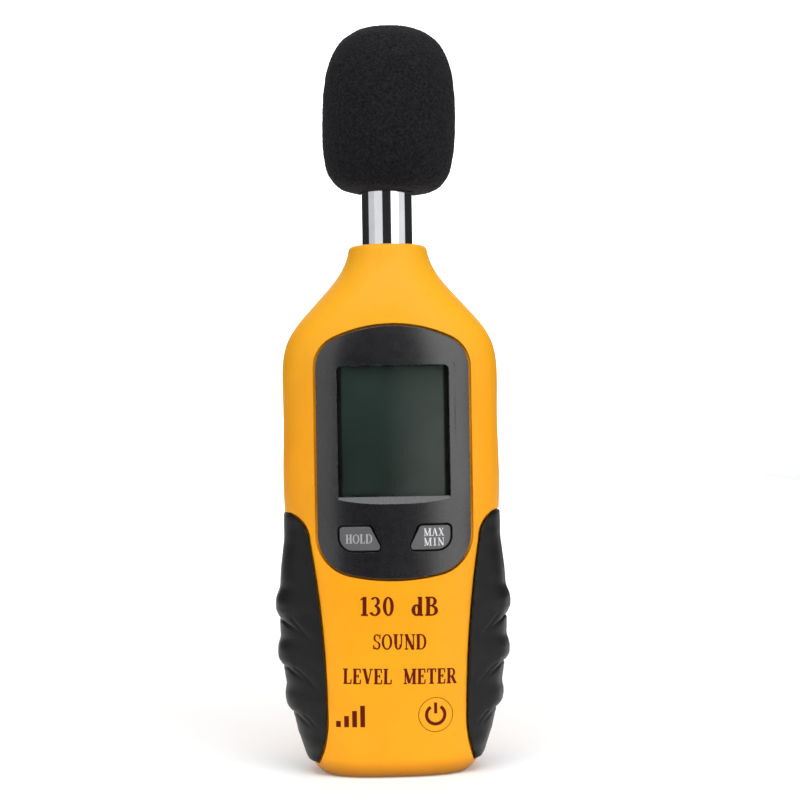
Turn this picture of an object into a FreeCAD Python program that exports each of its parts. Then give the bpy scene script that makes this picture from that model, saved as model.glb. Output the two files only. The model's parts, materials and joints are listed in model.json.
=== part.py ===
"""Handheld sound level meter: a parametric FreeCAD document, written out as one STEP file per piece.

Millimetres. +Z is up, the face with the display looks along -Y, and the origin is at the middle of the base.
The casing is a smooth lofted form, split at Y = 0 into a front and a rear shell.
"""

import FreeCAD, Part

import math
import os

import Sketcher
from FreeCAD import Vector

doc = FreeCAD.newDocument("sound_level_meter")

# ---------------------------------------------------------------- driving dimensions
DRIVING = [
    # casing
    ("case_height", 130.3, "base to the top of the neck"),
    ("wall", 2.2, "general wall of the shells"),
    ("grip_seat", 1.6, "depth of the recess under a side grip"),
    ("grip_floor", 3.2, "inside face of the wall behind a grip"),
    ("grip_proud", 0.3, "grip surface above the shells"),
    ("seam", 0.16, "parting gap between the shells"),
    ("base_round", 2.4, "radius round the base"),
    ("neck_round", 1.3, "radius round the top of the neck"),
    ("fit_gap", 0.15, "assembly gap round inset pieces"),
    ("grip_gap", 0.4, "groove round a side grip"),
    ("panel_gap", 0.6, "groove round the front panel"),
    ("form_reach", 40.0, "larger than the casing in any direction from its axis"),
    # side grips, seen from the front
    ("grip_tip_x", 19.0, "lower tip of the grip"),
    ("grip_tip_height", 3.1, ""),
    ("grip_waist_x", 16.85, "innermost point of the edge"),
    ("grip_waist_height", 17.2, ""),
    ("grip_shoulder_x", 20.5, "where the edge turns outwards"),
    ("grip_shoulder_height", 58.0, ""),
    ("grip_top_x", 25.1, ""),
    ("grip_top_height", 64.7, ""),
    ("grip_heel_radius", 30.0, ""),
    ("grip_edge_radius", 250.0, ""),
    ("grip_crown_radius", 7.0, ""),
    # black front panel
    ("panel_width", 37.3, ""),
    ("panel_height", 61.3, ""),
    ("panel_middle", 79.3, "height of its middle above the base"),
    ("panel_top_radius", 33.8, "crown of its upper edge"),
    ("panel_foot_radius", 50.0, "crown of its lower edge"),
    ("panel_top_corner", 7.6, ""),
    ("panel_foot_corner", 9.8, ""),
    ("panel_back", 11.6, "distance of its flat back in front of the parting plane"),
    ("tray_front", 11.45, "shelf of the front shell that carries the panel"),
    ("tray_thickness", 1.45, ""),
    ("tray_margin", 1.8, ""),
    # window, lens and display
    ("window_width", 27.2, ""),
    ("window_height", 31.6, ""),
    ("window_middle", 84.4, ""),
    ("window_corner", 1.2, ""),
    ("window_draft", 12.0, "slope of the window's top and sides, degrees"),
    ("window_slope", 50.0, "slope of its lower bevel, degrees"),
    ("window_reach", 3.0, "how far the window's tools stand in front of the lens"),
    ("lens_front", 13.5, ""),
    ("lens_thickness", 1.1, ""),
    ("lens_width", 30.0, ""),
    ("lens_height", 34.0, ""),
    ("glass_width", 29.0, ""),
    ("glass_height", 33.2, ""),
    ("glass_thickness", 1.0, ""),
    ("glass_front", 11.95, ""),
    ("glass_ledge", 1.8, "rear glass below the front glass, for the contacts"),
    ("backlight_thickness", 1.75, ""),
    ("backlight_front", 9.75, ""),
    # keys
    ("key_top", 61.4, "upper edge of the two grey keys"),
    ("key_foot", 55.7, ""),
    ("key_outer", 13.4, "outer edge, from the middle of the panel"),
    ("key_inner_top", 6.1, ""),
    ("key_inner_foot", 3.25, ""),
    ("key_round", 3.2, "large outer lower corner"),
    ("key_small_round", 0.8, ""),
    ("key_gap", 0.55, "dark gap round a key"),
    ("key_proud", 0.35, "key above the panel"),
    ("key_flange", 0.8, "lip behind the panel, its width and its thickness"),
    ("key_flange_front", 11.5, ""),
    ("key_boss_radius", 1.6, ""),
    ("key_boss_back", 9.95, ""),
    ("power_x", 9.2, "power key"),
    ("power_height", 15.4, ""),
    ("power_radius", 4.1, ""),
    ("power_gap", 0.15, ""),
    ("power_flange_front", 11.1, ""),
    ("power_front", 13.75, ""),
    # switches on the board
    ("switch_side", 6.0, ""),
    ("switch_body", 1.5, ""),
    ("plunger_radius", 1.5, ""),
    ("plunger_front", 9.9, ""),
    ("plunger_back", 8.9, ""),
    ("switch_bore_back", 8.35, ""),
    ("key_switch_x", 8.7, ""),
    ("key_switch_height", 58.5, ""),
    # circuit board
    ("board_front", 7.9, ""),
    ("board_thickness", 1.6, ""),
    ("board_foot", 12.3, ""),
    ("board_foot_half", 13.5, ""),
    ("board_half", 17.6, ""),
    ("board_taper_end", 24.0, ""),
    ("board_shoulder", 103.0, ""),
    ("board_neck_half", 11.0, ""),
    ("board_top", 113.8, ""),
    ("post_radius", 2.0, ""),
    ("post_pilot", 0.8, ""),
    ("post_low_x", 16.1, ""),
    ("post_low_height", 40.0, ""),
    ("post_high_x", 8.5, ""),
    ("post_high_height", 107.0, ""),
    ("board_screw_head", 1.6, ""),
    ("board_screw_core", 0.75, ""),
    # case screws
    ("boss_radius", 3.6, ""),
    ("boss_low_x", 12.8, ""),
    ("boss_low_height", 8.3, ""),
    ("boss_high_x", 15.4, ""),
    ("boss_high_height", 108.0, ""),
    ("screw_core", 1.1, ""),
    ("screw_pilot", 1.15, ""),
    ("screw_clear", 1.5, ""),
    ("screw_head", 2.6, ""),
    ("screw_head_height", 1.8, ""),
    ("screw_well", 3.1, "radius of the well over the head"),
    ("screw_seat", 6.0, "distance of the head's seat behind the parting plane"),
    ("screw_reach", 9.0, ""),
    # microphone
    ("tube_radius", 6.35, "half-inch microphone barrel"),
    ("tube_wall", 0.8, ""),
    ("tube_foot", 114.5, ""),
    ("tube_top", 171.0, ""),
    ("tube_bore_gap", 0.05, ""),
    ("tube_flange_radius", 8.3, ""),
    ("tube_flange_height", 119.2, ""),
    ("tube_flange_thickness", 1.5, ""),
    ("saddle_thickness", 2.0, ""),
    ("bush_radius", 7.9, ""),
    ("bush_top", 126.6, ""),
    ("capsule_radius", 4.85, ""),
    ("capsule_foot", 163.4, ""),
    ("capsule_top", 169.8, ""),
    ("grid_thickness", 0.8, ""),
    ("grid_hole", 0.45, ""),
    ("lead_radius", 0.9, ""),
    ("lead_turn_height", 112.0, ""),
    ("lead_end_height", 103.0, ""),
    ("lead_end_depth", 5.3, ""),
    # foam windscreen
    ("foam_foot", 143.6, ""),
    ("foam_top", 185.0, ""),
    ("foam_radius", 16.9, ""),
    ("foam_bore_top", 171.1, ""),
    # battery, its tray and connector
    ("battery_width", 26.4, "9 V block battery"),
    ("battery_depth", 17.4, ""),
    ("battery_height", 46.4, ""),
    ("battery_foot", 18.7, ""),
    ("battery_front", 5.4, "in front of the parting plane"),
    ("terminal_height", 2.1, ""),
    ("terminal_spacing", 12.7, ""),
    ("terminal_small", 2.85, ""),
    ("terminal_large", 4.1, ""),
    ("snap_thickness", 3.6, ""),
    ("tray_wall", 0.9, ""),
    ("tray_floor", 0.7, ""),
    ("tray_top", 74.0, ""),
    ("wire_radius", 0.6, ""),
    # battery door
    ("door_half", 16.5, ""),
    ("door_foot", 13.0, ""),
    ("door_top", 70.0, ""),
    ("door_corner", 3.0, ""),
    ("door_thickness", 1.8, ""),
    ("hinge_depth", 14.3, "hinge line behind the parting plane"),
    ("hook_x", 5.0, ""),
    ("hook_width", 4.6, ""),
    ("hook_reach", 3.9, "from the hinge line inwards"),
    ("hook_thickness", 1.2, ""),
    ("hook_drop", 2.4, "below the hinge line"),
    # tripod socket
    ("socket_height", 86.0, ""),
    ("socket_radius", 2.56, "minor radius of a 1/4-20 UNC thread"),
    ("socket_outer", 4.2, ""),
    ("socket_length", 8.0, ""),
    ("socket_mouth", 14.45, ""),
    ("socket_boss", 6.2, ""),
]

dims = doc.addObject("Spreadsheet::Sheet", "dims")
for row, (alias, value, note) in enumerate(DRIVING, start=1):
    dims.set(f"A{row}", alias)
    dims.set(f"B{row}", str(value))
    dims.set(f"C{row}", note)
    dims.setAlias(f"B{row}", alias)

# Outer form of the casing at a few heights: half width, depth of the front half, depth of the rear half.
CASE_STATIONS = [
    (0, 17.7, 12.2, 12.4),
    (2, 19.9, 12.9, 13.0),
    (5, 21.7, 13.4, 13.5),
    (9, 22.9, 13.8, 13.9),
    (14, 23.8, 14.1, 14.2),
    (22, 24.9, 14.4, 14.5),
    (34, 25.8, 14.7, 14.6),
    (50, 26.3, 14.9, 14.7),
    (68, 26.65, 15.0, 14.7),
    (96, 26.75, 15.0, 14.7),
    (102, 26.5, 14.9, 14.6),
    (107, 25.2, 14.6, 14.4),
    (111, 22.7, 14.2, 14.0),
    (117, 17.4, 13.1, 13.0),
    (122, 13.1, 11.7, 11.7),
    (126, 10.7, 10.6, 10.6),
    (130.3, 9.7, 9.9, 9.9),
]
# How far the rubber grip stands outside the casing's half width: three finger ridges.
GRIP_STATIONS = [
    (2, 0.0),
    (4.4, 0.35),
    (9.4, 0.6),
    (14.4, 0.85),
    (16.9, 1.8),
    (19.4, 2.35),
    (21.9, 1.85),
    (24.4, 1.95),
    (26.9, 2.0),
    (29.4, 2.9),
    (31.9, 2.65),
    (34.4, 2.2),
    (36.9, 2.2),
    (39.4, 1.7),
    (41.9, 2.95),
    (44.4, 2.25),
    (46.9, 1.7),
    (50, 1.4),
    (57, 0.45),
    (66, 0.0),
]

form = doc.addObject("Spreadsheet::Sheet", "form")
for row, station in enumerate(CASE_STATIONS, start=1):
    for column, value in zip("ABCD", station):
        form.set(f"{column}{row}", str(value))
for row, station in enumerate(GRIP_STATIONS, start=1):
    for column, value in zip("FG", station):
        form.set(f"{column}{row}", str(value))
doc.recompute()


# ---------------------------------------------------------------- small helpers
def value_of(expression):
    """The value of an expression of the sheet's cells."""
    return float(dims.evalExpression(expression))


def bind(feature, **expressions):
    """Ties a feature's properties to the sheet."""
    for name, expression in expressions.items():
        feature.setExpression(name.replace("__", "."), expression)
    return feature


def new_body(label):
    made = doc.addObject("PartDesign::Body", label)
    made.Label = label
    return made


def new_sketch(body, plane, name, offset="0"):
    """A sketch on an origin plane. On XZ_Plane its offset is the distance in front of the parting plane."""
    made = body.newObject("Sketcher::SketchObject", name)
    support = [feature for feature in body.Origin.OriginFeatures if feature.Role == plane][0]
    made.AttachmentSupport = [(support, "")]
    made.MapMode = "FlatFace"
    bind(made, AttachmentOffset__Base__z=offset)
    doc.recompute()
    return made


def tie(sketch, kind, geometry, point, expression):
    """Fixes a point's distance from the sketch's origin to an expression."""
    number = sketch.addConstraint(
        Sketcher.Constraint(kind, -1, 1, geometry, point, value_of(expression))
    )
    sketch.setExpression(f"Constraints[{number}]", expression)


def arc_between(first, second, radius):
    """Counter-clockwise arc from one point to the next, bulging out of the outline."""
    chord = second - first
    middle = (first + second) / 2
    inward = Vector(-chord.y, chord.x, 0).normalize()
    centre = middle + inward * math.sqrt(radius**2 - (chord.Length / 2) ** 2)
    start = math.atan2(first.y - centre.y, first.x - centre.x)
    end = math.atan2(second.y - centre.y, second.x - centre.x)
    return Part.ArcOfCircle(Part.Circle(centre, Vector(0, 0, 1), radius), start, end)


def outline(sketch, corners, arcs=None):
    """A closed counter-clockwise outline. arcs gives the radius of the edge that follows a corner, where it is round."""
    arcs = arcs or {}
    points = [Vector(value_of(x), value_of(y), 0) for x, y in corners]
    count = len(points)
    first = sketch.GeometryCount
    for i, point in enumerate(points):
        after = points[(i + 1) % count]
        if i in arcs:
            sketch.addGeometry(arc_between(point, after, value_of(arcs[i])))
        else:
            sketch.addGeometry(Part.LineSegment(point, after))
    for i in range(count):
        sketch.addConstraint(
            Sketcher.Constraint("Coincident", first + i, 2, first + (i + 1) % count, 1)
        )
    for i, (x, y) in enumerate(corners):
        tie(sketch, "DistanceX", first + i, 1, x)
        tie(sketch, "DistanceY", first + i, 1, y)
    for i, radius in arcs.items():
        number = sketch.addConstraint(
            Sketcher.Constraint("Radius", first + i, value_of(radius))
        )
        sketch.setExpression(f"Constraints[{number}]", radius)


def rectangle(sketch, left, right, low, high):
    outline(sketch, [(left, low), (right, low), (right, high), (left, high)])


def centred_rectangle(sketch, width, height, middle):
    rectangle(
        sketch,
        f"-({width}) / 2",
        f"({width}) / 2",
        f"{middle} - ({height}) / 2",
        f"{middle} + ({height}) / 2",
    )


def circle(sketch, x, y, radius):
    centre = Vector(value_of(x), value_of(y), 0)
    number = sketch.addGeometry(Part.Circle(centre, Vector(0, 0, 1), value_of(radius)))
    tie(sketch, "DistanceX", number, 3, x)
    tie(sketch, "DistanceY", number, 3, y)
    constraint = sketch.addConstraint(
        Sketcher.Constraint("Radius", number, value_of(radius))
    )
    sketch.setExpression(f"Constraints[{constraint}]", radius)


def pad(body, sketch, length, backwards=False, taper="0"):
    made = body.newObject("PartDesign::Pad", sketch.Name + "_pad")
    made.Profile = sketch
    made.Reversed = backwards
    bind(made, Length=length, TaperAngle=taper)
    doc.recompute()
    return made


def pocket(body, sketch, length, backwards=False):
    made = body.newObject("PartDesign::Pocket", sketch.Name + "_pocket")
    made.Profile = sketch
    made.Reversed = backwards
    bind(made, Length=length)
    doc.recompute()
    return made


def revolve(body, sketch):
    made = body.newObject("PartDesign::Revolution", sketch.Name + "_revolution")
    made.Profile = sketch
    made.ReferenceAxis = (sketch, ["V_Axis"])
    made.Angle = 360
    doc.recompute()
    return made


def edges_where(shape, test):
    """Names of the edges whose bounding box passes a test."""
    return [f"Edge{i}" for i, edge in enumerate(shape.Edges, 1) if test(edge.BoundBox)]


def round_edges(body, feature, radius, test, name):
    made = body.newObject("PartDesign::Fillet", name)
    made.Base = (feature, edges_where(feature.Shape, test))
    bind(made, Radius=radius)
    doc.recompute()
    return made


def along_depth(box):
    """True for a straight edge that runs front to back."""
    return box.XLength < 1e-4 and box.ZLength < 1e-4


def cut(label, base, *tools):
    """Base less one or more tools, taken away one after the other."""
    for i, tool in enumerate(tools, 1):
        made = doc.addObject("Part::Cut", label if i == len(tools) else f"{label}_step_{i}")
        made.Base, made.Tool = base, tool
        base = made
    doc.recompute()
    return made


def common(label, base, tool):
    made = doc.addObject("Part::Common", label)
    made.Base, made.Tool = base, tool
    doc.recompute()
    return made


def fuse(label, *shapes):
    made = doc.addObject("Part::MultiFuse", label)
    made.Shapes = list(shapes)
    doc.recompute()
    return made


def gathered(label, pieces):
    """Equal pieces as one object with this label."""
    if len(pieces) > 1:
        return fuse(label, *pieces)
    pieces[0].Label = label
    return pieces[0]


def mirrored(label, source):
    """The same piece on the other side of the YZ plane."""
    made = doc.addObject("Part::Mirroring", label)
    made.Source = source
    made.Normal = Vector(1, 0, 0)
    doc.recompute()
    return made


def depth_prism(label, draw, front, back, corner=None, name="outline"):
    """A body with an outline seen from the front, from one depth (in front of the parting plane) to another."""
    body = new_body(label)
    sketch = new_sketch(body, "XZ_Plane", f"{label}_{name}", back)
    draw(sketch)
    made = pad(body, sketch, f"({front}) - ({back})")
    if corner:
        round_edges(body, made, corner, along_depth, f"{label}_corners")
    return body


def rod(label, places, radius, front, back):
    """One or more equal round rods that run front to back, as one body each, fused."""
    rods = []
    for i, (x, height) in enumerate(places, 1):
        made = doc.addObject("Part::Cylinder", f"{label}_{i}")
        bind(
            made,
            Radius=radius,
            Height=f"({front}) - ({back})",
            Placement__Base__x=x,
            Placement__Base__y=f"-({back})",
            Placement__Base__z=height,
        )
        made.Placement.Rotation = FreeCAD.Rotation(Vector(1, 0, 0), 90)
        rods.append(made)
    doc.recompute()
    return gathered(label, rods)


def both_sides(x, height):
    return [(f"-({x})", height), (x, height)]


# ---------------------------------------------------------------- the casing's form
def smooth_value(stations, column, at):
    """Monotone cubic through the stations of one column of the form sheet."""
    xs = [station[0] for station in stations]
    ys = [station[column] for station in stations]
    last = len(xs) - 1
    rise = [(ys[i + 1] - ys[i]) / (xs[i + 1] - xs[i]) for i in range(last)]
    slope = [rise[0]] + [0.0] * (last - 1) + [rise[-1]]
    for i in range(1, last):
        if rise[i - 1] * rise[i] > 0:
            slope[i] = 2 / (1 / rise[i - 1] + 1 / rise[i])
    at = min(max(at, xs[0]), xs[-1])
    i = min(sum(1 for x in xs[1:] if x <= at), last - 1)
    width = xs[i + 1] - xs[i]
    t = (at - xs[i]) / width
    return (
        (1 + 2 * t) * (1 - t) ** 2 * ys[i]
        + t * (1 - t) ** 2 * width * slope[i]
        + t * t * (3 - 2 * t) * ys[i + 1]
        + t * t * (t - 1) * width * slope[i + 1]
    )


def read_stations(columns, count):
    return [
        tuple(float(form.get(f"{column}{row}")) for column in columns)
        for row in range(1, count + 1)
    ]


case_stations = read_stations("ABCD", len(CASE_STATIONS))
grip_stations = read_stations("FG", len(GRIP_STATIONS))

SQUARE_FRONT, SQUARE_REAR, ROUND_NECK = 2.6, 4.0, 2.15
NECK_START, NECK_END = 104.0, 126.0
POINTS_A_QUARTER = 7


def section(height, inset, proud_sides=0.0):
    """A cross-section of the casing: two superellipse halves that meet at the parting plane."""
    half_width, front, rear = (
        smooth_value(case_stations, column, height) - inset for column in (1, 2, 3)
    )
    half_width += proud_sides
    neck = min(max((height - NECK_START) / (NECK_END - NECK_START), 0.0), 1.0)
    quarters = []
    for quarter in range(4):
        points = []
        for i in range(POINTS_A_QUARTER + 1):
            turn = math.pi / 2 * (quarter + i / POINTS_A_QUARTER)
            across, depth = math.cos(turn), math.sin(turn)
            square = SQUARE_REAR if quarter < 2 else SQUARE_FRONT
            power = square + (ROUND_NECK - square) * neck
            reach = (abs(across) ** power + abs(depth) ** power) ** (-1 / power)
            rim = rear if quarter < 2 else front
            points.append(Vector(half_width * across * reach, rim * depth * reach, height))
        leave = Vector(-math.sin(math.pi / 2 * quarter), math.cos(math.pi / 2 * quarter), 0)
        arrive = Vector(-leave.y, leave.x, 0)
        even_steps = [i / POINTS_A_QUARTER for i in range(POINTS_A_QUARTER + 1)]
        curve = Part.BSplineCurve()
        curve.interpolate(
            Points=points, Parameters=even_steps, InitialTangent=leave, FinalTangent=arrive
        )
        quarters.append(curve.toShape())
    return Part.Wire(quarters)


def horizontal_edge(low, high):
    return lambda box: box.ZLength < 1e-3 and low < box.ZMin < high


def lofted_form(label, heights, inset, grip=False):
    """The casing's form, offset inwards by inset, as a solid of its own."""
    sections = [
        section(height, inset, smooth_value(grip_stations, 1, height) if grip else 0.0)
        for height in heights
    ]
    made = doc.addObject("Part::Feature", label)
    made.Shape = Part.makeLoft(sections, True, False)
    return made


top = value_of("dims.case_height")
CASE_HEIGHTS = [0, 2.5, 6, 11, 18, 30, 46, 64, 82, 96, 102.5, 107, 111, 115, 119, 123, 126.5, top]
full_form = lofted_form("full_form", CASE_HEIGHTS, 0.0)
outer_form = doc.addObject("Part::Feature", "outer_form")
rounded = full_form.Shape
for radius, low, high in (("base_round", -1, 1), ("neck_round", top - 1, top + 1)):
    picked = [edge for edge in rounded.Edges if horizontal_edge(low, high)(edge.BoundBox)]
    rounded = rounded.makeFillet(value_of(f"dims.{radius}"), picked)
outer_form.Shape = rounded

wall = value_of("dims.wall")
cavity_heights = [wall] + CASE_HEIGHTS[2:-1] + [top - wall]
cavity_form = lofted_form("cavity_form", cavity_heights, wall)
SIDE_HEIGHTS = [0, 2.5, 6, 11, 18, 30, 46, 64, 80]
seat_form = lofted_form("seat_form", SIDE_HEIGHTS, value_of("dims.grip_seat"))
grip_back_form = lofted_form("grip_back_form", SIDE_HEIGHTS, value_of("dims.grip_seat - 0.05"))
floor_form = lofted_form("floor_form", SIDE_HEIGHTS, value_of("dims.grip_floor"))
RIDGE_HEIGHTS = [1.9 + 2.5 * i for i in range(26)] + [66.2]
grip_form = lofted_form("grip_form", RIDGE_HEIGHTS, -value_of("dims.grip_proud"), grip=True)
key_form = lofted_form("key_form", CASE_HEIGHTS[4:10], -value_of("dims.key_proud"))


# ---------------------------------------------------------------- grips and their seats
def other_side(corners, arcs):
    """The same outline on the other side of the middle, still counter-clockwise."""
    count = len(corners)
    flipped = [(f"-({x})", y) for x, y in reversed(corners)]
    return flipped, {(count - 2 - i) % count: radius for i, radius in arcs.items()}


def grip_zone(label, side, gap):
    """A prism round a grip, seen from the front. gap moves its edge away from the middle of the casing."""
    corners = [
        (f"dims.grip_tip_x + {gap}", f"dims.grip_tip_height + {gap}"),
        ("dims.form_reach", f"dims.grip_tip_height + {gap}"),
        ("dims.form_reach", f"dims.grip_top_height - {gap}"),
        (f"dims.grip_top_x + {gap}", f"dims.grip_top_height - {gap}"),
        (f"dims.grip_shoulder_x + {gap}", "dims.grip_shoulder_height"),
        (f"dims.grip_waist_x + {gap}", "dims.grip_waist_height"),
    ]
    arcs = {3: "dims.grip_crown_radius", 4: "dims.grip_edge_radius", 5: "dims.grip_heel_radius"}
    if side == "left":
        corners, arcs = other_side(corners, arcs)
    return depth_prism(
        label, lambda sketch: outline(sketch, corners, arcs), "dims.form_reach", "-dims.form_reach"
    )


grip_skin = cut("grip_skin", grip_form, grip_back_form)
right_grip = common("right_grip", grip_skin, grip_zone("right_grip_zone", "right", "dims.grip_gap"))
left_grip = common("left_grip", grip_skin, grip_zone("left_grip_zone", "left", "dims.grip_gap"))
SIDES = ("left", "right")
seat_cuts = [cut(f"{side}_seat", grip_zone(f"{side}_seat_zone", side, "0"), seat_form) for side in SIDES]
wall_keeps = [cut(f"{side}_wall", grip_zone(f"{side}_wall_zone", side, "-1.6"), floor_form) for side in SIDES]
cavity = cut("cavity", cavity_form, *wall_keeps)
shell = cut("shell", outer_form, cavity, *seat_cuts)


# ---------------------------------------------------------------- black front panel
def draw_panel(sketch, gap):
    half = f"(dims.panel_width / 2 + {gap})"
    top_radius = f"(dims.panel_top_radius + {gap})"
    foot_radius = f"(dims.panel_foot_radius + {gap})"
    high = f"dims.panel_middle + dims.panel_height / 2 + {gap} - {top_radius} + sqrt({top_radius}^2 - {half}^2)"
    low = f"dims.panel_middle - dims.panel_height / 2 - {gap} + {foot_radius} - sqrt({foot_radius}^2 - {half}^2)"
    outline(
        sketch,
        [(f"-{half}", low), (half, low), (half, high), (f"-{half}", high)],
        {0: foot_radius, 2: top_radius},
    )


def panel_prism(label, gap, front, back):
    body = new_body(label)
    sketch = new_sketch(body, "XZ_Plane", f"{label}_outline", back)
    draw_panel(sketch, gap)
    made = pad(body, sketch, f"({front}) - ({back})")
    middle = value_of("dims.panel_middle")
    made = round_edges(
        body,
        made,
        f"dims.panel_top_corner + {gap}",
        lambda box: along_depth(box) and box.ZMin > middle,
        f"{label}_top_corners",
    )
    round_edges(
        body,
        made,
        f"dims.panel_foot_corner + {gap}",
        lambda box: along_depth(box) and box.ZMin < middle,
        f"{label}_foot_corners",
    )
    return body


def display_prism(label, width, height, front, back, corner=None, middle="dims.window_middle"):
    return depth_prism(
        label, lambda sketch: centred_rectangle(sketch, width, height, middle), front, back, corner
    )


def draw_key(sketch, gap):
    """The left-hand key, an upright block whose inner edge slants. gap, in brackets, makes it larger all round."""
    outline(
        sketch,
        [
            (f"-dims.key_outer - {gap}", f"dims.key_foot - {gap}"),
            (f"-dims.key_inner_foot + {gap}", f"dims.key_foot - {gap}"),
            (f"-dims.key_inner_top + {gap}", f"dims.key_top + {gap}"),
            (f"-dims.key_outer - {gap}", f"dims.key_top + {gap}"),
        ],
    )


def key_prism(label, gap, front, back):
    body = new_body(label)
    gap = f"({gap})"
    sketch = new_sketch(body, "XZ_Plane", f"{label}_outline", back)
    draw_key(sketch, gap)
    made = pad(body, sketch, f"({front}) - ({back})")
    outer, foot = value_of(f"-dims.key_outer - {gap}"), value_of(f"dims.key_foot - {gap}")

    def big_corner(box):
        return along_depth(box) and abs(box.XMin - outer) < 1e-3 and abs(box.ZMin - foot) < 1e-3

    made = round_edges(body, made, f"dims.key_round + {gap}", big_corner, f"{label}_big_corner")
    high = value_of("(dims.key_top + dims.key_foot) / 2")
    inner = value_of("-dims.key_inner_foot - 1")
    round_edges(
        body,
        made,
        f"dims.key_small_round + {gap}",
        lambda box: along_depth(box) and (box.ZMin > high or box.XMin > inner),
        f"{label}_small_corners",
    )
    return body


lens_back = "dims.lens_front - dims.lens_thickness"
panel_block = common(
    "panel_block", outer_form, panel_prism("panel_outline", "0", "dims.form_reach", "dims.panel_back")
)
window = new_body("window")
window_sketch = new_sketch(window, "XZ_Plane", "window_outline", "dims.lens_front")
centred_rectangle(window_sketch, "dims.window_width", "dims.window_height", "dims.window_middle")
window_pad = pad(window, window_sketch, "dims.window_reach", taper="dims.window_draft")
window_middle = value_of("dims.window_middle")
round_edges(
    window,
    window_pad,
    "dims.window_corner",
    lambda box: box.YLength > 1 and box.ZMin > window_middle,
    "window_corners",
)
window_low = "dims.window_middle - dims.window_height / 2"
window_bevel = new_body("window_bevel")
bevel_sketch = new_sketch(window_bevel, "YZ_Plane", "window_bevel_outline", "-dims.window_width / 2")
outline(
    bevel_sketch,
    [
        (
            "-dims.lens_front - dims.window_reach",
            f"{window_low} - dims.window_reach * tan(dims.window_slope)",
        ),
        ("-dims.lens_front", window_low),
        ("-dims.lens_front - dims.window_reach", window_low),
    ],
)
pad(window_bevel, bevel_sketch, "dims.window_width")
lens_pocket = display_prism(
    "lens_pocket",
    "dims.lens_width + 2 * dims.fit_gap",
    "dims.lens_height + 2 * dims.fit_gap",
    "dims.lens_front",
    "dims.panel_back - 1",
    "dims.window_corner",
)
key_hole = key_prism("key_hole", "dims.key_gap", "dims.form_reach", "dims.panel_back - 1")
panel_tools = [window, window_bevel, lens_pocket, key_hole, mirrored("key_hole_right", key_hole)]
front_panel = cut("front_panel", panel_block, *panel_tools)

display_lens = display_prism(
    "display_lens", "dims.lens_width", "dims.lens_height", "dims.lens_front", lens_back, "dims.window_corner"
)
display_front_glass = display_prism(
    "display_front_glass",
    "dims.glass_width",
    "dims.glass_height",
    "dims.glass_front",
    "dims.glass_front - dims.glass_thickness",
)
rear_glass_front = "dims.glass_front - dims.glass_thickness - 0.05"
display_rear_glass = display_prism(
    "display_rear_glass",
    "dims.glass_width",
    "dims.glass_height + dims.glass_ledge",
    rear_glass_front,
    f"{rear_glass_front} - dims.glass_thickness",
    middle="dims.window_middle - dims.glass_ledge / 2",
)
backlight = display_prism(
    "backlight",
    "dims.glass_width",
    "dims.glass_height - 0.4",
    "dims.backlight_front",
    "dims.backlight_front - dims.backlight_thickness",
)
contact_strip = display_prism(
    "contact_strip",
    "dims.glass_width - 2",
    "1.4",
    "dims.backlight_front + 0.05",
    "dims.board_front + 0.05",
    middle="dims.window_middle - dims.glass_height / 2 - 0.9",
)


# ---------------------------------------------------------------- keys and switches
def key(label, side):
    """A grey key: its cap follows the casing's curve, with a lip behind the panel and a boss over its switch."""
    cap = common(f"{label}_cap", key_form, key_prism(f"{label}_stem", "0", "dims.form_reach", "dims.key_flange_front"))
    lip_back = "dims.key_flange_front - dims.key_flange"
    lip = key_prism(f"{label}_lip", "dims.key_flange + dims.key_gap", "dims.key_flange_front", lip_back)
    boss = rod(
        f"{label}_boss",
        [("-dims.key_switch_x", "dims.key_switch_height")],
        "dims.key_boss_radius",
        lip_back,
        "dims.key_boss_back",
    )
    made = fuse(label if side < 0 else f"{label}_left", cap, lip, boss)
    return made if side < 0 else mirrored(label, made)


hold_key = key("hold_key", -1)
max_min_key = key("max_min_key", 1)

power_place = [("dims.power_x", "dims.power_height")]
power_lip_back = "dims.power_flange_front - dims.key_flange"
power_blank = fuse(
    "power_blank",
    rod("power_cap", power_place, "dims.power_radius", "dims.form_reach", "dims.power_flange_front"),
    rod(
        "power_lip",
        power_place,
        "dims.power_radius + dims.key_flange",
        "dims.power_flange_front",
        power_lip_back,
    ),
    rod("power_boss", power_place, "dims.key_boss_radius", power_lip_back, "dims.key_boss_back"),
)
power_key = common("power_key", power_blank, outer_form)

SWITCH_PLACES = both_sides("dims.key_switch_x", "dims.key_switch_height") + power_place


def plunger(label, place):
    return rod(label, [place], "dims.plunger_radius", "dims.plunger_front", "dims.plunger_back")


hold_plunger = plunger("hold_plunger", SWITCH_PLACES[0])
max_min_plunger = plunger("max_min_plunger", SWITCH_PLACES[1])
power_plunger = plunger("power_plunger", SWITCH_PLACES[2])


def draw_switches(sketch):
    for x, height in SWITCH_PLACES:
        rectangle(
            sketch,
            f"{x} - dims.switch_side / 2",
            f"{x} + dims.switch_side / 2",
            f"{height} - dims.switch_side / 2",
            f"{height} + dims.switch_side / 2",
        )


def separate_blocks(label, places, width, height, front, back, corner=None):
    """Equal rectangular blocks, each a solid of its own, in one node."""
    blocks = []
    for i, (x, middle) in enumerate(places, 1):

        def draw(sketch, x=x, middle=middle):
            rectangle(
                sketch,
                f"{x} - ({width}) / 2",
                f"{x} + ({width}) / 2",
                f"{middle} - ({height}) / 2",
                f"{middle} + ({height}) / 2",
            )

        blocks.append(depth_prism(f"{label}_{i}", draw, front, back, corner))
    return gathered(label, blocks)


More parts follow.
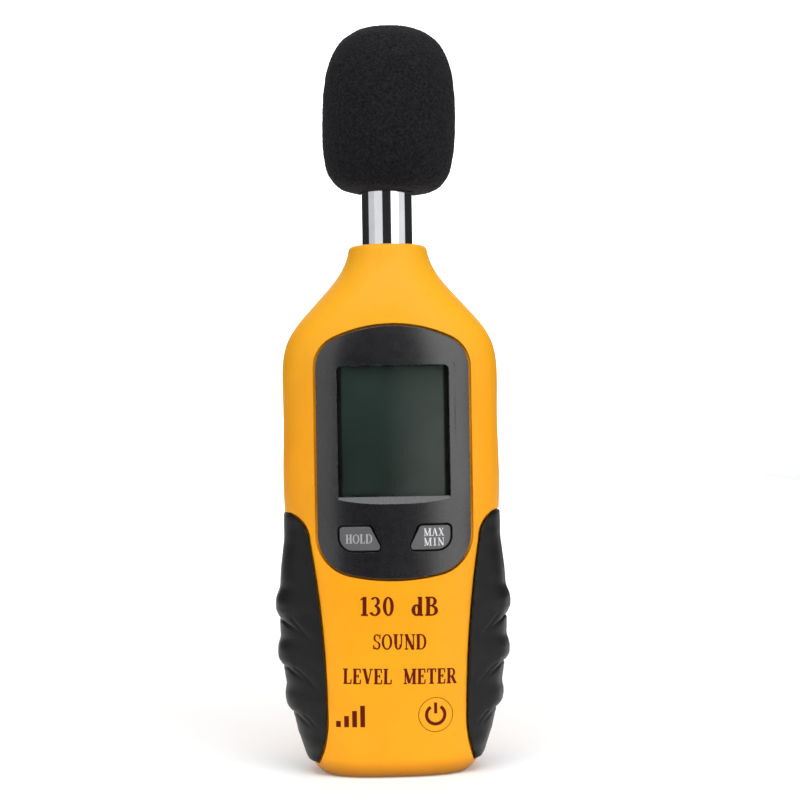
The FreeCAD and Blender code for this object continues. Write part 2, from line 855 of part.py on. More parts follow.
board_face = "dims.board_front + 0.02"
switch_blocks = separate_blocks(
    "switch_blocks",
    SWITCH_PLACES,
    "dims.switch_side",
    "dims.switch_side",
    "dims.board_front + dims.switch_body",
    board_face,
)
tact_switches = cut(
    "tact_switches",
    switch_blocks,
    rod("switch_bores", SWITCH_PLACES, "dims.plunger_radius + 0.1", "dims.form_reach", "dims.switch_bore_back"),
)

# ---------------------------------------------------------------- circuit board and what is on it
POST_PLACES = both_sides("dims.post_low_x", "dims.post_low_height") + both_sides(
    "dims.post_high_x", "dims.post_high_height"
)
board_back = "dims.board_front - dims.board_thickness"


def draw_board(sketch):
    half, neck, foot = "dims.board_half", "dims.board_neck_half", "dims.board_foot_half"
    outline(
        sketch,
        [
            (f"-{foot}", "dims.board_foot"),
            (foot, "dims.board_foot"),
            (half, "dims.board_taper_end"),
            (half, "dims.board_shoulder"),
            (neck, "dims.board_shoulder"),
            (neck, "dims.board_top"),
            (f"-{neck}", "dims.board_top"),
            (f"-{neck}", "dims.board_shoulder"),
            (f"-{half}", "dims.board_shoulder"),
            (f"-{half}", "dims.board_taper_end"),
        ],
    )


main_board = cut(
    "main_board",
    depth_prism("board_blank", draw_board, "dims.board_front", board_back),
    rod("board_holes", POST_PLACES, "dims.board_screw_core + 0.15", "dims.form_reach", "0"),
)
chip_face = f"{board_back} - 0.02"
main_chip = separate_blocks("main_chip", [("0", "94")], "10", "10", chip_face, f"{chip_face} - 1.5", "0.5")
amplifier_chips = separate_blocks(
    "amplifier_chips", [("-10.5", "97"), ("-10.5", "89")], "4", "5", chip_face, f"{chip_face} - 1.6"
)
capacitors = rod(
    "capacitors", [("10.5", "97.5"), ("10.5", "91"), ("12", "84")], "2.5", chip_face, f"{chip_face} - 5.4"
)
calibration_trimmer = cut(
    "calibration_trimmer",
    separate_blocks("trimmer_block", [("-11", "80.5")], "6.5", "6.5", chip_face, f"{chip_face} - 4.5"),
    separate_blocks("trimmer_slot", [("-11", "80.5")], "3", "0.7", f"{chip_face} - 3.8", f"{chip_face} - 5"),
)
timing_crystal = separate_blocks("timing_crystal", [("0", "84")], "8", "3.2", chip_face, f"{chip_face} - 2.6", "1.2")

board_screws = fuse(
    "board_screws",
    rod(
        "board_screw_shanks",
        POST_PLACES,
        "dims.board_screw_core",
        "dims.board_front + 2.6",
        chip_face,
    ),
    rod("board_screw_heads", POST_PLACES, "dims.board_screw_head", chip_face, f"{chip_face} - 1.1"),
)

# ---------------------------------------------------------------- shells
BOSS_PLACES = both_sides("dims.boss_low_x", "dims.boss_low_height") + both_sides(
    "dims.boss_high_x", "dims.boss_high_height"
)


def half_space(label, front, back):
    return depth_prism(
        label,
        lambda sketch: rectangle(
            sketch, "-dims.form_reach", "dims.form_reach", "-10", "dims.case_height + 10"
        ),
        front,
        back,
    )


front_half = half_space("front_half", "dims.form_reach", "dims.seam / 2")
rear_half = half_space("rear_half", "-dims.seam / 2", "-dims.form_reach")

tray_back = "dims.tray_front - dims.tray_thickness"
saddle_top = "dims.tube_flange_height - 0.2"


def draw_saddle(sketch):
    rectangle(
        sketch, "-dims.form_reach", "dims.form_reach", f"{saddle_top} - dims.saddle_thickness", saddle_top
    )


saddle = depth_prism("saddle", draw_saddle, "dims.form_reach", "-dims.form_reach")
front_inside = fuse(
    "front_inside",
    panel_prism("panel_tray", "dims.tray_margin", "dims.tray_front", tray_back),
    rod("front_bosses", BOSS_PLACES, "dims.boss_radius - 0.6", "dims.form_reach", "dims.seam / 2"),
    rod("board_posts", POST_PLACES, "dims.post_radius", "dims.form_reach", "dims.board_front + 0.05"),
    saddle,
)
tube_bore = new_body("tube_bore")
bore_sketch = new_sketch(tube_bore, "XY_Plane", "bore_outline", "dims.tube_foot")
circle(bore_sketch, "0", "0", "dims.tube_radius + dims.tube_bore_gap")
pad(tube_bore, bore_sketch, "dims.form_reach")

# Everything inside a shell stops one millimetre under the outer form.
core_form = lofted_form("core_form", [1.2] + CASE_HEIGHTS[2:-1] + [top - 1.2], 1.2)
core_in_seats = cut("core_in_seats", core_form, *wall_keeps)
front_blank = fuse(
    "front_blank",
    common("front_shell", shell, front_half),
    common("front_fittings", common("front_fittings_core", front_inside, core_in_seats), front_half),
)
panel_recess = panel_prism("panel_recess", "dims.panel_gap", "dims.form_reach", "dims.tray_front + 0.05")
display_opening = display_prism(
    "display_opening",
    "dims.glass_width + 1.2",
    "dims.glass_height + dims.glass_ledge + 1.2",
    "dims.form_reach",
    f"{tray_back} - 1.4",
    middle="dims.window_middle - dims.glass_ledge / 2",
)
key_opening = key_prism(
    "key_opening", "dims.key_flange + dims.key_gap + 0.5", "dims.form_reach", f"{tray_back} - 1.4"
)
front_case = cut(
    "front_case",
    front_blank,
    panel_recess,
    display_opening,
    key_opening,
    mirrored("key_opening_right", key_opening),
    tube_bore,
    rod("power_hole", power_place, "dims.power_radius + dims.power_gap", "dims.form_reach", "dims.board_front + 1"),
    rod(
        "power_lip_recess",
        power_place,
        "dims.power_radius + dims.key_flange + 0.2",
        "dims.power_flange_front + 0.05",
        "dims.board_front + 1",
    ),
    rod("front_pilots", BOSS_PLACES, "dims.screw_pilot", "dims.screw_reach + 0.5", "0"),
    rod("post_pilots", POST_PLACES, "dims.post_pilot", "dims.board_front + 2.9", "0"),
)


def draw_door(gap):
    def draw(sketch):
        rectangle(
            sketch,
            f"-dims.door_half - {gap}",
            f"dims.door_half + {gap}",
            f"dims.door_foot - {gap}",
            f"dims.door_top + {gap}",
        )

    return draw


def rear_prism(label, draw, corner=None):
    """A prism that reaches out of the back of the casing."""
    return depth_prism(label, draw, "-8", "-dims.form_reach", corner)


socket_place = [("0", "dims.socket_height")]
socket_back = "-dims.socket_mouth"
rear_inside = fuse(
    "rear_inside",
    rod("rear_bosses", BOSS_PLACES, "dims.boss_radius", "-dims.seam / 2", "-dims.form_reach"),
    rod(
        "socket_boss",
        socket_place,
        "dims.socket_boss",
        "dims.socket_length + 1 - dims.socket_mouth",
        "-dims.form_reach",
    ),
    saddle,
)
rear_blank = fuse(
    "rear_blank",
    common("rear_shell", shell, rear_half),
    common("rear_fittings", common("rear_fittings_core", rear_inside, core_in_seats), rear_half),
)
rear_case = cut(
    "rear_case",
    rear_blank,
    rear_prism("door_opening", draw_door("0"), "dims.door_corner"),
    tube_bore,
    rod("rear_clearance", BOSS_PLACES, "dims.screw_clear", "1", "-dims.form_reach"),
    rod("screw_wells", BOSS_PLACES, "dims.screw_well", "-dims.screw_seat", "-dims.form_reach"),
    rod(
        "socket_seat",
        socket_place,
        "dims.socket_outer + 0.02",
        "dims.socket_length - dims.socket_mouth + 0.02",
        "-dims.form_reach",
    ),
)

case_screws = cut(
    "case_screws",
    fuse(
        "case_screw_blanks",
        rod("case_shanks", BOSS_PLACES, "dims.screw_core", "dims.screw_reach", "-dims.screw_seat - 0.5"),
        rod(
            "case_heads",
            BOSS_PLACES,
            "dims.screw_head",
            "-dims.screw_seat - 0.02",
            "-dims.screw_seat - dims.screw_head_height",
        ),
    ),
    separate_blocks(
        "screw_slots", BOSS_PLACES, "3.4", "0.8", "-dims.screw_seat - dims.screw_head_height + 0.9", "-20"
    ),
    separate_blocks(
        "screw_cross_slots", BOSS_PLACES, "0.8", "3.4", "-dims.screw_seat - dims.screw_head_height + 0.9", "-20"
    ),
)

# ---------------------------------------------------------------- battery door
hook_foot = "dims.door_foot - dims.hook_drop"
hook_inside = "dims.hinge_depth - dims.hook_reach"


def hook(label, x):
    """An L-shaped hook that holds the door's lower edge and turns out of the rear shell with it."""
    body = new_body(label)
    sketch = new_sketch(body, "YZ_Plane", f"{label}_outline", f"{x} - dims.hook_width / 2")
    outline(
        sketch,
        [
            (hook_inside, hook_foot),
            (f"{hook_inside} + dims.hook_thickness", hook_foot),
            (f"{hook_inside} + dims.hook_thickness", "dims.door_foot + 0.6"),
            ("dims.hinge_depth - 1", "dims.door_foot + 0.6"),
            ("dims.hinge_depth - 1", "dims.door_foot + 2"),
            (hook_inside, "dims.door_foot + 2"),
        ],
    )
    pad(body, sketch, "dims.hook_width")
    return body


door_inner = lofted_form("door_inner", SIDE_HEIGHTS, value_of("dims.door_thickness"))
door_plate = cut(
    "door_plate",
    common(
        "door_skin",
        outer_form,
        rear_prism("door_outline", draw_door("-dims.fit_gap"), "dims.door_corner - dims.fit_gap"),
    ),
    door_inner,
)
RIB_PLACES = [("0", f"dims.door_top - {5 + 1.8 * i}") for i in range(4)]
battery_door = cut(
    "battery_door",
    fuse("door_with_hooks", door_plate, hook("hook_left", "-dims.hook_x"), hook("hook_right", "dims.hook_x")),
    separate_blocks("door_grooves", RIB_PLACES, "11", "0.9", "-14.1", "-20"),
)

# ---------------------------------------------------------------- tripod socket
socket_blank = rod(
    "socket_blank", socket_place, "dims.socket_outer", "dims.socket_length - dims.socket_mouth", socket_back
)
tripod_socket = cut(
    "tripod_socket",
    socket_blank,
    rod("socket_bore", socket_place, "dims.socket_radius", "20", "-20"),
)


# ---------------------------------------------------------------- microphone
def turned(label, corners, arcs=None):
    """A piece turned about the microphone's axis from its half section."""
    body = new_body(label)
    sketch = new_sketch(body, "XZ_Plane", f"{label}_section")
    outline(sketch, corners, arcs)
    revolve(body, sketch)
    return body


tube_inner = "dims.tube_radius - dims.tube_wall"
flange_foot = "dims.tube_flange_height"
flange_top = "dims.tube_flange_height + dims.tube_flange_thickness"
microphone_tube = turned(
    "microphone_tube",
    [
        (tube_inner, "dims.tube_foot"),
        ("dims.tube_radius", "dims.tube_foot"),
        ("dims.tube_radius", flange_foot),
        ("dims.tube_flange_radius", flange_foot),
        ("dims.tube_flange_radius", flange_top),
        ("dims.tube_radius", flange_top),
        ("dims.tube_radius", "dims.tube_top - 0.4"),
        ("dims.tube_radius - 0.4", "dims.tube_top"),
        (tube_inner, "dims.tube_top"),
    ],
)
tube_bush = turned(
    "tube_bush",
    [
        ("dims.tube_radius + 0.02", f"{flange_top} + 0.1"),
        ("dims.bush_radius", f"{flange_top} + 0.1"),
        ("dims.bush_radius", "dims.bush_top - 1"),
        ("dims.bush_radius - 1", "dims.bush_top"),
        ("dims.tube_radius + 0.02", "dims.bush_top"),
    ],
)
capsule_holder = turned(
    "capsule_holder",
    [
        ("dims.capsule_radius + 0.03", "dims.capsule_foot - 0.5"),
        (f"{tube_inner} - 0.05", "dims.capsule_foot - 0.5"),
        (f"{tube_inner} - 0.05", "dims.capsule_top"),
        ("dims.capsule_radius + 0.03", "dims.capsule_top"),
    ],
)
microphone_capsule = turned(
    "microphone_capsule",
    [
        ("0", "dims.capsule_foot"),
        ("dims.capsule_radius", "dims.capsule_foot"),
        ("dims.capsule_radius", "dims.capsule_top - 0.3"),
        ("dims.capsule_radius - 0.3", "dims.capsule_top"),
        ("0", "dims.capsule_top"),
    ],
)

microphone_grid = new_body("microphone_grid")
grid_sketch = new_sketch(microphone_grid, "XY_Plane", "grid_outline", "dims.capsule_top + 0.1")
circle(grid_sketch, "0", "0", f"{tube_inner} - 0.05")
grid_pad = pad(microphone_grid, grid_sketch, "dims.grid_thickness")
GRID_RINGS = [(1.5, 6), (3.0, 12), (4.5, 18)]
grid_patterns = []
for ring, (ring_radius, holes) in enumerate(GRID_RINGS, 1):
    hole_sketch = new_sketch(microphone_grid, "XY_Plane", f"grid_ring_{ring}", "dims.capsule_top + 0.1")
    circle(hole_sketch, str(ring_radius), "0", "dims.grid_hole")
    hole = pocket(microphone_grid, hole_sketch, "dims.grid_thickness + 1", backwards=True)
    pattern = microphone_grid.newObject("PartDesign::PolarPattern", f"grid_pattern_{ring}")
    pattern.Originals = [hole]
    pattern.Axis = (hole_sketch, ["N_Axis"])
    pattern.Angle = 360
    pattern.Occurrences = holes
    microphone_grid.Tip = pattern
    doc.recompute()


def swept_wire(label, route, radius):
    """A round wire or lead along straight runs joined by tangent arcs, from a route of points."""
    points = [Vector(*(value_of(term) for term in point)) for point in route]
    edges, start = [], points[0]
    for before, corner, after in zip(points, points[1:], points[2:]):
        back, on = (before - corner), (after - corner)
        turn = math.pi - back.getAngle(on)
        trim = 0.45 * min(back.Length, on.Length)
        first = corner + back.normalize() * trim
        last = corner + on.normalize() * trim
        bend = trim / math.tan(turn / 2)
        middle = corner + (back + on).normalize() * (math.hypot(bend, trim) - bend)
        edges += [Part.LineSegment(start, first).toShape(), Part.Arc(first, middle, last).toShape()]
        start = last
    edges.append(Part.LineSegment(start, points[-1]).toShape())
    path = Part.Wire(edges)
    profile = Part.Wire([Part.Circle(points[0], points[1] - points[0], value_of(radius)).toShape()])
    made = doc.addObject("Part::Feature", label)
    made.Shape = path.makePipeShell([profile], True, True)
    return made


microphone_lead = swept_wire(
    "microphone_lead",
    [
        ("0", "0", "dims.capsule_foot - 0.05"),
        ("0", "0", "dims.lead_turn_height"),
        ("0", "-dims.lead_end_depth", "dims.lead_end_height"),
    ],
    "dims.lead_radius",
)

# ---------------------------------------------------------------- foam windscreen
windscreen = turned(
    "windscreen",
    [
        ("dims.tube_radius + dims.tube_bore_gap", "dims.foam_foot + 0.6"),
        ("dims.tube_radius + 1.4", "dims.foam_foot"),
        ("dims.foam_radius - 6.2", "dims.foam_foot + 0.1"),
        ("dims.foam_radius - 0.5", "dims.foam_foot + 7.8"),
        ("dims.foam_radius - 0.5", "dims.foam_top - 14.4"),
        ("dims.foam_radius - 7.2", "dims.foam_top - 1.9"),
        ("2", "dims.foam_top"),
        ("0", "dims.foam_top"),
        ("0", "dims.foam_bore_top"),
        ("dims.tube_radius + dims.tube_bore_gap", "dims.foam_bore_top"),
    ],
    {2: "9.6", 3: "98", 4: "15", 5: "((dims.foam_radius - 9.2)^2 + 1.9^2) / 3.8"},
)

# ---------------------------------------------------------------- battery, tray and leads
battery_back = "dims.battery_front - dims.battery_depth"
battery_top = "dims.battery_foot + dims.battery_height"


def draw_battery(gap_side, gap_foot, high):
    def draw(sketch):
        rectangle(
            sketch,
            f"-dims.battery_width / 2 - {gap_side}",
            f"dims.battery_width / 2 + {gap_side}",
            f"dims.battery_foot - {gap_foot}",
            high,
        )

    return draw


block_battery = depth_prism(
    "block_battery", draw_battery("0", "0", battery_top), "dims.battery_front", battery_back
)
upright = block_battery.Tip
round_edges(
    block_battery,
    upright,
    "1.6",
    lambda box: box.XLength < 1e-4 and box.YLength < 1e-4,
    "block_battery_corners",
)
tray_back_depth = f"{battery_back} + 1"
battery_tray = cut(
    "battery_tray",
    depth_prism(
        "tray_block",
        draw_battery("dims.tray_wall + 0.2", "dims.tray_wall + 0.2", "dims.tray_top"),
        "dims.battery_front + dims.tray_floor + 0.1",
        tray_back_depth,
    ),
    depth_prism(
        "tray_inside",
        draw_battery("0.2", "0.2", "dims.tray_top + 5"),
        "dims.battery_front + 0.1",
        f"{tray_back_depth} - 5",
    ),
)


def battery_height_disc(label, x, radius, low, high):
    """A disc that stands on top of the battery."""
    made = doc.addObject("Part::Cylinder", label)
    bind(
        made,
        Radius=radius,
        Height=f"({high}) - ({low})",
        Placement__Base__x=x,
        Placement__Base__y=f"-({battery_back} + dims.battery_depth / 2)",
        Placement__Base__z=low,
    )
    doc.recompute()
    return made


def terminals(label, extra, low, high):
    return fuse(
        label,
        battery_height_disc(
            f"{label}_small", "-dims.terminal_spacing / 2", f"dims.terminal_small + {extra}", low, high
        ),
        battery_height_disc(
            f"{label}_large", "dims.terminal_spacing / 2", f"dims.terminal_large + {extra}", low, high
        ),
    )


battery_terminals = terminals(
    "battery_terminals", "0", f"{battery_top} + 0.02", f"{battery_top} + dims.terminal_height"
)
snap_foot = f"{battery_top} + 0.1"


def draw_snap(sketch):
    rectangle(
        sketch,
        "-dims.battery_width / 2 + 0.6",
        "dims.battery_width / 2 - 0.6",
        snap_foot,
        f"{snap_foot} + dims.snap_thickness",
    )


snap_middle = f"({battery_back} + dims.battery_depth / 2)"
battery_snap = cut(
    "battery_snap",
    depth_prism("snap_block", draw_snap, f"{snap_middle} + 6.2", f"{snap_middle} - 6.2"),
    terminals("snap_sockets", "0.1", battery_top, f"{battery_top} + dims.terminal_height + 0.1"),
)


def battery_lead(label, x):
    """A lead from the connector up past the tray and forward to the board."""
    depth = f"-{snap_middle}"
    return swept_wire(
        label,
        [
            (x, depth, f"{snap_foot} + dims.snap_thickness + 0.05"),
            (x, depth, "dims.tray_top + 2"),
            (x, f"-({board_back}) + 0.75", "dims.tray_top + 3.5"),
        ],
        "dims.wire_radius",
    )


red_lead = battery_lead("red_lead", "4")
black_lead = battery_lead("black_lead", "-4")

# ---------------------------------------------------------------- check and write every piece
PIECES = [
    "front_case", "rear_case", "right_grip", "left_grip", "front_panel", "display_lens",
    "display_front_glass", "display_rear_glass", "backlight", "contact_strip",
    "hold_key", "max_min_key", "power_key", "hold_plunger", "max_min_plunger", "power_plunger",
    "tact_switches", "main_board", "main_chip", "amplifier_chips", "capacitors",
    "calibration_trimmer", "timing_crystal", "board_screws", "case_screws", "battery_door",
    "tripod_socket", "microphone_tube", "tube_bush", "capsule_holder", "microphone_capsule",
    "microphone_grid", "microphone_lead", "windscreen", "block_battery", "battery_terminals",
    "battery_tray", "battery_snap", "red_lead", "black_lead",
]  # fmt: skip


doc.recompute()
for feature in doc.Objects:
    if {"Invalid", "Error"} & set(feature.State):
        raise RuntimeError(f"{feature.Label} failed: {feature.State}")
for label in PIECES:
    shape = doc.getObjectsByLabel(label)[0].Shape
    if shape.isNull() or not shape.isValid() or not shape.Solids:
        raise RuntimeError(f"{label} has no valid solid")

os.makedirs("parts", exist_ok=True)
for label in PIECES:
    shape = doc.getObjectsByLabel(label)[0].Shape
    shape.exportStep(f"parts/{label}.step")
    print(label, len(shape.Solids), "solids", round(shape.Volume, 1), "mm3")
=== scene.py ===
"""Looks of a handheld sound level meter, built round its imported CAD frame.

Metres. +Z is up and the face with the display looks along -Y. Everything is placed from the CAD nodes' boxes.
"""

import bisect
import json
import math

import bpy
from mathutils import Matrix, Vector, noise
from mathutils.bvhtree import BVHTree


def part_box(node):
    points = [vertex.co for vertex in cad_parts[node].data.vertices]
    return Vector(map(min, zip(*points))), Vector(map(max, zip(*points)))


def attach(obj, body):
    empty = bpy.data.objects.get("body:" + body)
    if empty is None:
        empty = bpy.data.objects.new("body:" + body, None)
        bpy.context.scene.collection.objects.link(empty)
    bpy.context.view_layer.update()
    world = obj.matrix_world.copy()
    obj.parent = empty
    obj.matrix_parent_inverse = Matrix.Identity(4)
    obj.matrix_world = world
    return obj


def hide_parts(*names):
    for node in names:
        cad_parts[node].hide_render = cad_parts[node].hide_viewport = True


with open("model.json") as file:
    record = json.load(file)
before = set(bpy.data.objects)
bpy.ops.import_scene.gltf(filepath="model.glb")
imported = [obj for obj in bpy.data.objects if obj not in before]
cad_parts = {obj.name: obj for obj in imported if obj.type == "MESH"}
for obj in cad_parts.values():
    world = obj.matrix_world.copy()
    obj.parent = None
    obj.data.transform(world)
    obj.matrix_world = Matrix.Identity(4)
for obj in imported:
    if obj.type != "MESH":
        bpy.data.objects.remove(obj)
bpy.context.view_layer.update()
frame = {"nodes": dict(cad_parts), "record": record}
nodes = frame["nodes"]
MM = 0.001

# ---------------------------------------------------------------- camera
CAMERA_DISTANCE = 0.450
CAMERA_HEIGHT = 0.0919
CAMERA_TURN = math.radians(-3.4)
CAMERA_ROLL = math.radians(-0.92)
AIM_RIGHT = 0.00255
LENS = 81.0
SENSOR_WIDTH = 36.0

camera_data = bpy.data.cameras.new("camera")
camera_data.lens = LENS
camera_data.sensor_width = SENSOR_WIDTH
camera = bpy.data.objects.new("camera", camera_data)
bpy.context.scene.collection.objects.link(camera)
backwards = Vector((math.sin(CAMERA_TURN), -math.cos(CAMERA_TURN), 0))
rightwards = Vector((math.cos(CAMERA_TURN), math.sin(CAMERA_TURN), 0))
aim = Vector((0, 0, CAMERA_HEIGHT)) + rightwards * AIM_RIGHT
camera.rotation_mode = "QUATERNION"
level = (-backwards).to_track_quat("-Z", "Y").to_matrix()
camera.rotation_quaternion = (level @ Matrix.Rotation(CAMERA_ROLL, 3, "Z")).to_quaternion()
camera.location = aim + backwards * CAMERA_DISTANCE
bpy.context.scene.camera = camera


# ---------------------------------------------------------------- material helpers
class Finish:
    """A node material under construction, with the few nodes this scene uses."""

    def __init__(self, name):
        self.material = bpy.data.materials.new(name)
        self.material.use_nodes = True
        self.tree = self.material.node_tree
        self.shader = self.tree.nodes["Principled BSDF"]
        self.coords = self.tree.nodes.new("ShaderNodeTexCoord").outputs["Object"]

    def node(self, kind, **settings):
        made = self.tree.nodes.new("ShaderNode" + kind)
        for name, value in settings.items():
            setattr(made, name, value)
        return made

    def link(self, source, target):
        self.tree.links.new(source, target)

    def stretched(self, x, y, z):
        """Object coordinates, scaled by axis."""
        made = self.node("Mapping")
        made.inputs["Scale"].default_value = (x, y, z)
        self.link(self.coords, made.inputs["Vector"])
        return made.outputs["Vector"]

    def noise(self, size, detail=4.0, roughness=0.5, vector=None):
        """Noise whose features are about this size, in millimetres."""
        made = self.node("TexNoise")
        made.inputs["Scale"].default_value = 1 / (size * MM)
        made.inputs["Detail"].default_value = detail
        made.inputs["Roughness"].default_value = roughness
        self.link(vector or self.coords, made.inputs["Vector"])
        return made.outputs["Fac"]

    def cells(self, size, feature="F1"):
        """Distance within cells of about this size, in millimetres."""
        made = self.node("TexVoronoi", feature=feature)
        made.inputs["Scale"].default_value = 1 / (size * MM)
        self.link(self.coords, made.inputs["Vector"])
        return made.outputs["Distance"]

    def ramp(self, source, low, high, start=0.3, end=0.7):
        """A colour that runs from low to high with the source."""
        made = self.node("ValToRGB")
        first, last = made.color_ramp.elements
        first.position, last.position = start, end
        first.color, last.color = (*low, 1), (*high, 1)
        self.link(source, made.inputs["Fac"])
        return made.outputs["Color"]

    def spread(self, source, low, high, start=0.3, end=0.7):
        """A number that runs from low to high with the source."""
        made = self.node("MapRange")
        made.inputs["From Min"].default_value = start
        made.inputs["From Max"].default_value = end
        made.inputs["To Min"].default_value = low
        made.inputs["To Max"].default_value = high
        self.link(source, made.inputs["Value"])
        return made.outputs["Result"]

    def mix(self, factor, first, second):
        made = self.node("Mix", data_type="RGBA")
        self.link(factor, made.inputs["Factor"])
        for socket, value in ((made.inputs[6], first), (made.inputs[7], second)):
            if isinstance(value, tuple):
                socket.default_value = (*value, 1)
            else:
                self.link(value, socket)
        return made.outputs[2]

    def axis(self, name):
        """One axis of the object coordinates."""
        split = self.node("SeparateXYZ")
        self.link(self.coords, split.inputs["Vector"])
        return split.outputs[name]

    def bump(self, source, height, normal=None):
        """Relief of this height in millimetres."""
        made = self.node("Bump")
        made.inputs["Distance"].default_value = height * MM
        made.inputs["Strength"].default_value = 1.0
        self.link(source, made.inputs["Height"])
        if normal:
            self.link(normal, made.inputs["Normal"])
        return made.outputs["Normal"]

    def soft_edges(self, radius):
        """Normals that round the sharp edges of moulded pieces."""
        made = self.node("Bevel", samples=6)
        made.inputs["Radius"].default_value = radius * MM
        return made.outputs["Normal"]

    def set(self, **sockets):
        for name, value in sockets.items():
            socket = self.shader.inputs[name.replace("_", " ")]
            if isinstance(value, bpy.types.NodeSocket):
                self.link(value, socket)
            elif isinstance(value, tuple):
                socket.default_value = (*value, 1)
            else:
                socket.default_value = value
        return self.material


def shade(colour, factor):
    return tuple(min(channel * factor, 1.0) for channel in colour)


def moulded(name, colour, roughness, variation=0.06, grain=0.25, relief=0.006, edge=0.0):
    """Moulded plastic or rubber: faint colour drift, fine spark-eroded grain, patchy gloss."""
    made = Finish(name)
    drift = made.noise(9.0, 3.0)
    tint = made.ramp(drift, shade(colour, 1 - variation), shade(colour, 1 + variation))
    fine = made.noise(grain, 2.0)
    patches = made.noise(4.0, 5.0)
    normal = made.bump(fine, relief, made.soft_edges(edge) if edge else None)
    gloss = made.spread(patches, roughness - 0.04, roughness + 0.05)
    return made.set(Base_Color=tint, Roughness=gloss, Normal=normal)


def worked_metal(name, colour, roughness, lines=(1, 1, 1), grain=0.3, relief=0.003):
    """Bare metal with tool marks along one direction and faint staining."""
    made = Finish(name)
    marks = made.noise(grain, 4.0, 0.6, made.stretched(*lines))
    stain = made.noise(5.0, 4.0)
    tint = made.ramp(stain, shade(colour, 0.9), shade(colour, 1.04))
    gloss = made.spread(marks, roughness - 0.03, roughness + 0.06)
    return made.set(Base_Color=tint, Metallic=1.0, Roughness=gloss, Normal=made.bump(marks, relief))


# ---------------------------------------------------------------- materials
AMBER = (0.95, 0.375, 0.003)
PRINT_RED = (0.115, 0.008, 0.0015)


def amber_plastic():
    """Satin plastic, with a painted highlight that pales it towards the neck and painted shade that darkens
    its foot.
    """
    made = Finish("amber_plastic")
    drift = made.noise(14.0, 2.0)
    tint = made.ramp(drift, shade(AMBER, 0.965), shade(AMBER, 1.035))
    flecks = made.noise(0.9, 3.0)
    tint = made.mix(made.spread(flecks, 0.0, 0.05), tint, (1.0, 0.50, 0.05))
    height = made.axis("Z")
    # painted highlight: the colour turns paler towards the neck
    painted_neck_light = made.spread(height, 0.0, 0.6, 84 * MM, 112 * MM)
    tint = made.mix(painted_neck_light, tint, (1.0, 0.47, 0.015))
    # painted shade: the colour darkens over the lowest few millimetres, at the foot
    painted_foot_shade = made.spread(height, 1.0, 0.0, 0.6 * MM, 4.6 * MM)
    tint = made.mix(painted_foot_shade, tint, shade(AMBER, 0.36))
    grain = made.noise(0.22, 2.0)
    normal = made.bump(grain, 0.006, made.soft_edges(0.3))
    gloss = made.spread(made.noise(3.0, 5.0), 0.40, 0.50)
    return made.set(
        Base_Color=tint,
        Roughness=gloss,
        Normal=normal,
        Subsurface_Weight=0.12,
        Subsurface_Scale=0.0012,
        Specular_IOR_Level=0.25,
    )


def panel_plastic():
    made = Finish("panel_plastic")
    drift = made.noise(6.0, 4.0)
    tint = made.ramp(drift, (0.0055, 0.0055, 0.007), (0.0075, 0.0075, 0.009))
    grain = made.noise(0.25, 3.0)
    normal = made.bump(grain, 0.004, made.soft_edges(0.2))
    gloss = made.spread(made.noise(2.5, 3.0), 0.26, 0.29)
    return made.set(Base_Color=tint, Roughness=gloss, Normal=normal, Specular_IOR_Level=0.9)


def grip_rubber():
    made = Finish("grip_rubber")
    drift = made.noise(5.0, 4.0)
    tint = made.ramp(drift, (0.0045, 0.0047, 0.0047), (0.0075, 0.0078, 0.0078))
    dust = made.cells(0.5)
    tint = made.mix(made.spread(dust, 0.0, 0.06, 0.0, 0.6), tint, (0.04, 0.04, 0.04))
    grain = made.noise(0.3, 3.0, 0.6)
    gloss = made.spread(made.noise(2.0, 4.0), 0.38, 0.46)
    return made.set(Base_Color=tint, Roughness=gloss, Normal=made.bump(grain, 0.010), Specular_IOR_Level=0.2)


def window_plastic():
    made = Finish("window_plastic")
    haze = made.noise(7.0, 5.0)
    tint = made.ramp(haze, (0.80, 0.84, 0.82), (0.88, 0.90, 0.89))
    gloss = made.spread(haze, 0.03, 0.06)
    return made.set(
        Base_Color=tint,
        Roughness=gloss,
        IOR=1.49,
        Transmission_Weight=1.0,
        Normal=made.bump(made.noise(12.0, 1.0), 0.004),
    )


LCD_HALF = 12.2 * MM  # half width of the liquid crystal itself


def liquid_crystal():
    """An idle display: dark green on the left, with a painted reflection that greys it towards the right and
    greens it towards the top, dark beside the liquid crystal.
    """
    made = Finish("liquid_crystal")
    sideways = made.axis("X")
    # painted reflection: the display's colour lightens and greys from left to right
    across = made.spread(sideways, 0.0, 1.0, -LCD_HALF, LCD_HALF)
    tint = made.ramp(across, (0.036, 0.060, 0.052), (0.185, 0.195, 0.180), 0.42, 0.95)
    # painted reflection: the colour turns greener towards the top
    height = made.spread(made.axis("Z"), 0.0, 0.45, 78 * MM, 100 * MM)
    tint = made.mix(height, tint, (0.085, 0.150, 0.125))
    distance = made.node("Math", operation="ABSOLUTE")
    made.link(sideways, distance.inputs[0])
    border = made.spread(distance.outputs[0], 0.0, 1.0, LCD_HALF, LCD_HALF + 0.5 * MM)
    tint = made.mix(border, tint, (0.006, 0.006, 0.005))
    haze = made.noise(2.0, 3.0)
    return made.set(
        Base_Color=tint,
        Roughness=made.spread(haze, 0.34, 0.42),
        Normal=made.bump(made.noise(0.15, 1.0), 0.002),
        Specular_IOR_Level=0.3,
    )


def plated_tube():
    made = Finish("plated_tube")
    lathe = made.noise(0.25, 3.0, 0.6, made.stretched(0.15, 0.15, 1.6))
    stain = made.noise(6.0, 4.0)
    tint = made.ramp(stain, (0.70, 0.71, 0.74), (0.78, 0.79, 0.81))
    gloss = made.spread(lathe, 0.05, 0.09)
    return made.set(Base_Color=tint, Metallic=1.0, Roughness=gloss, Normal=made.bump(lathe, 0.0012))


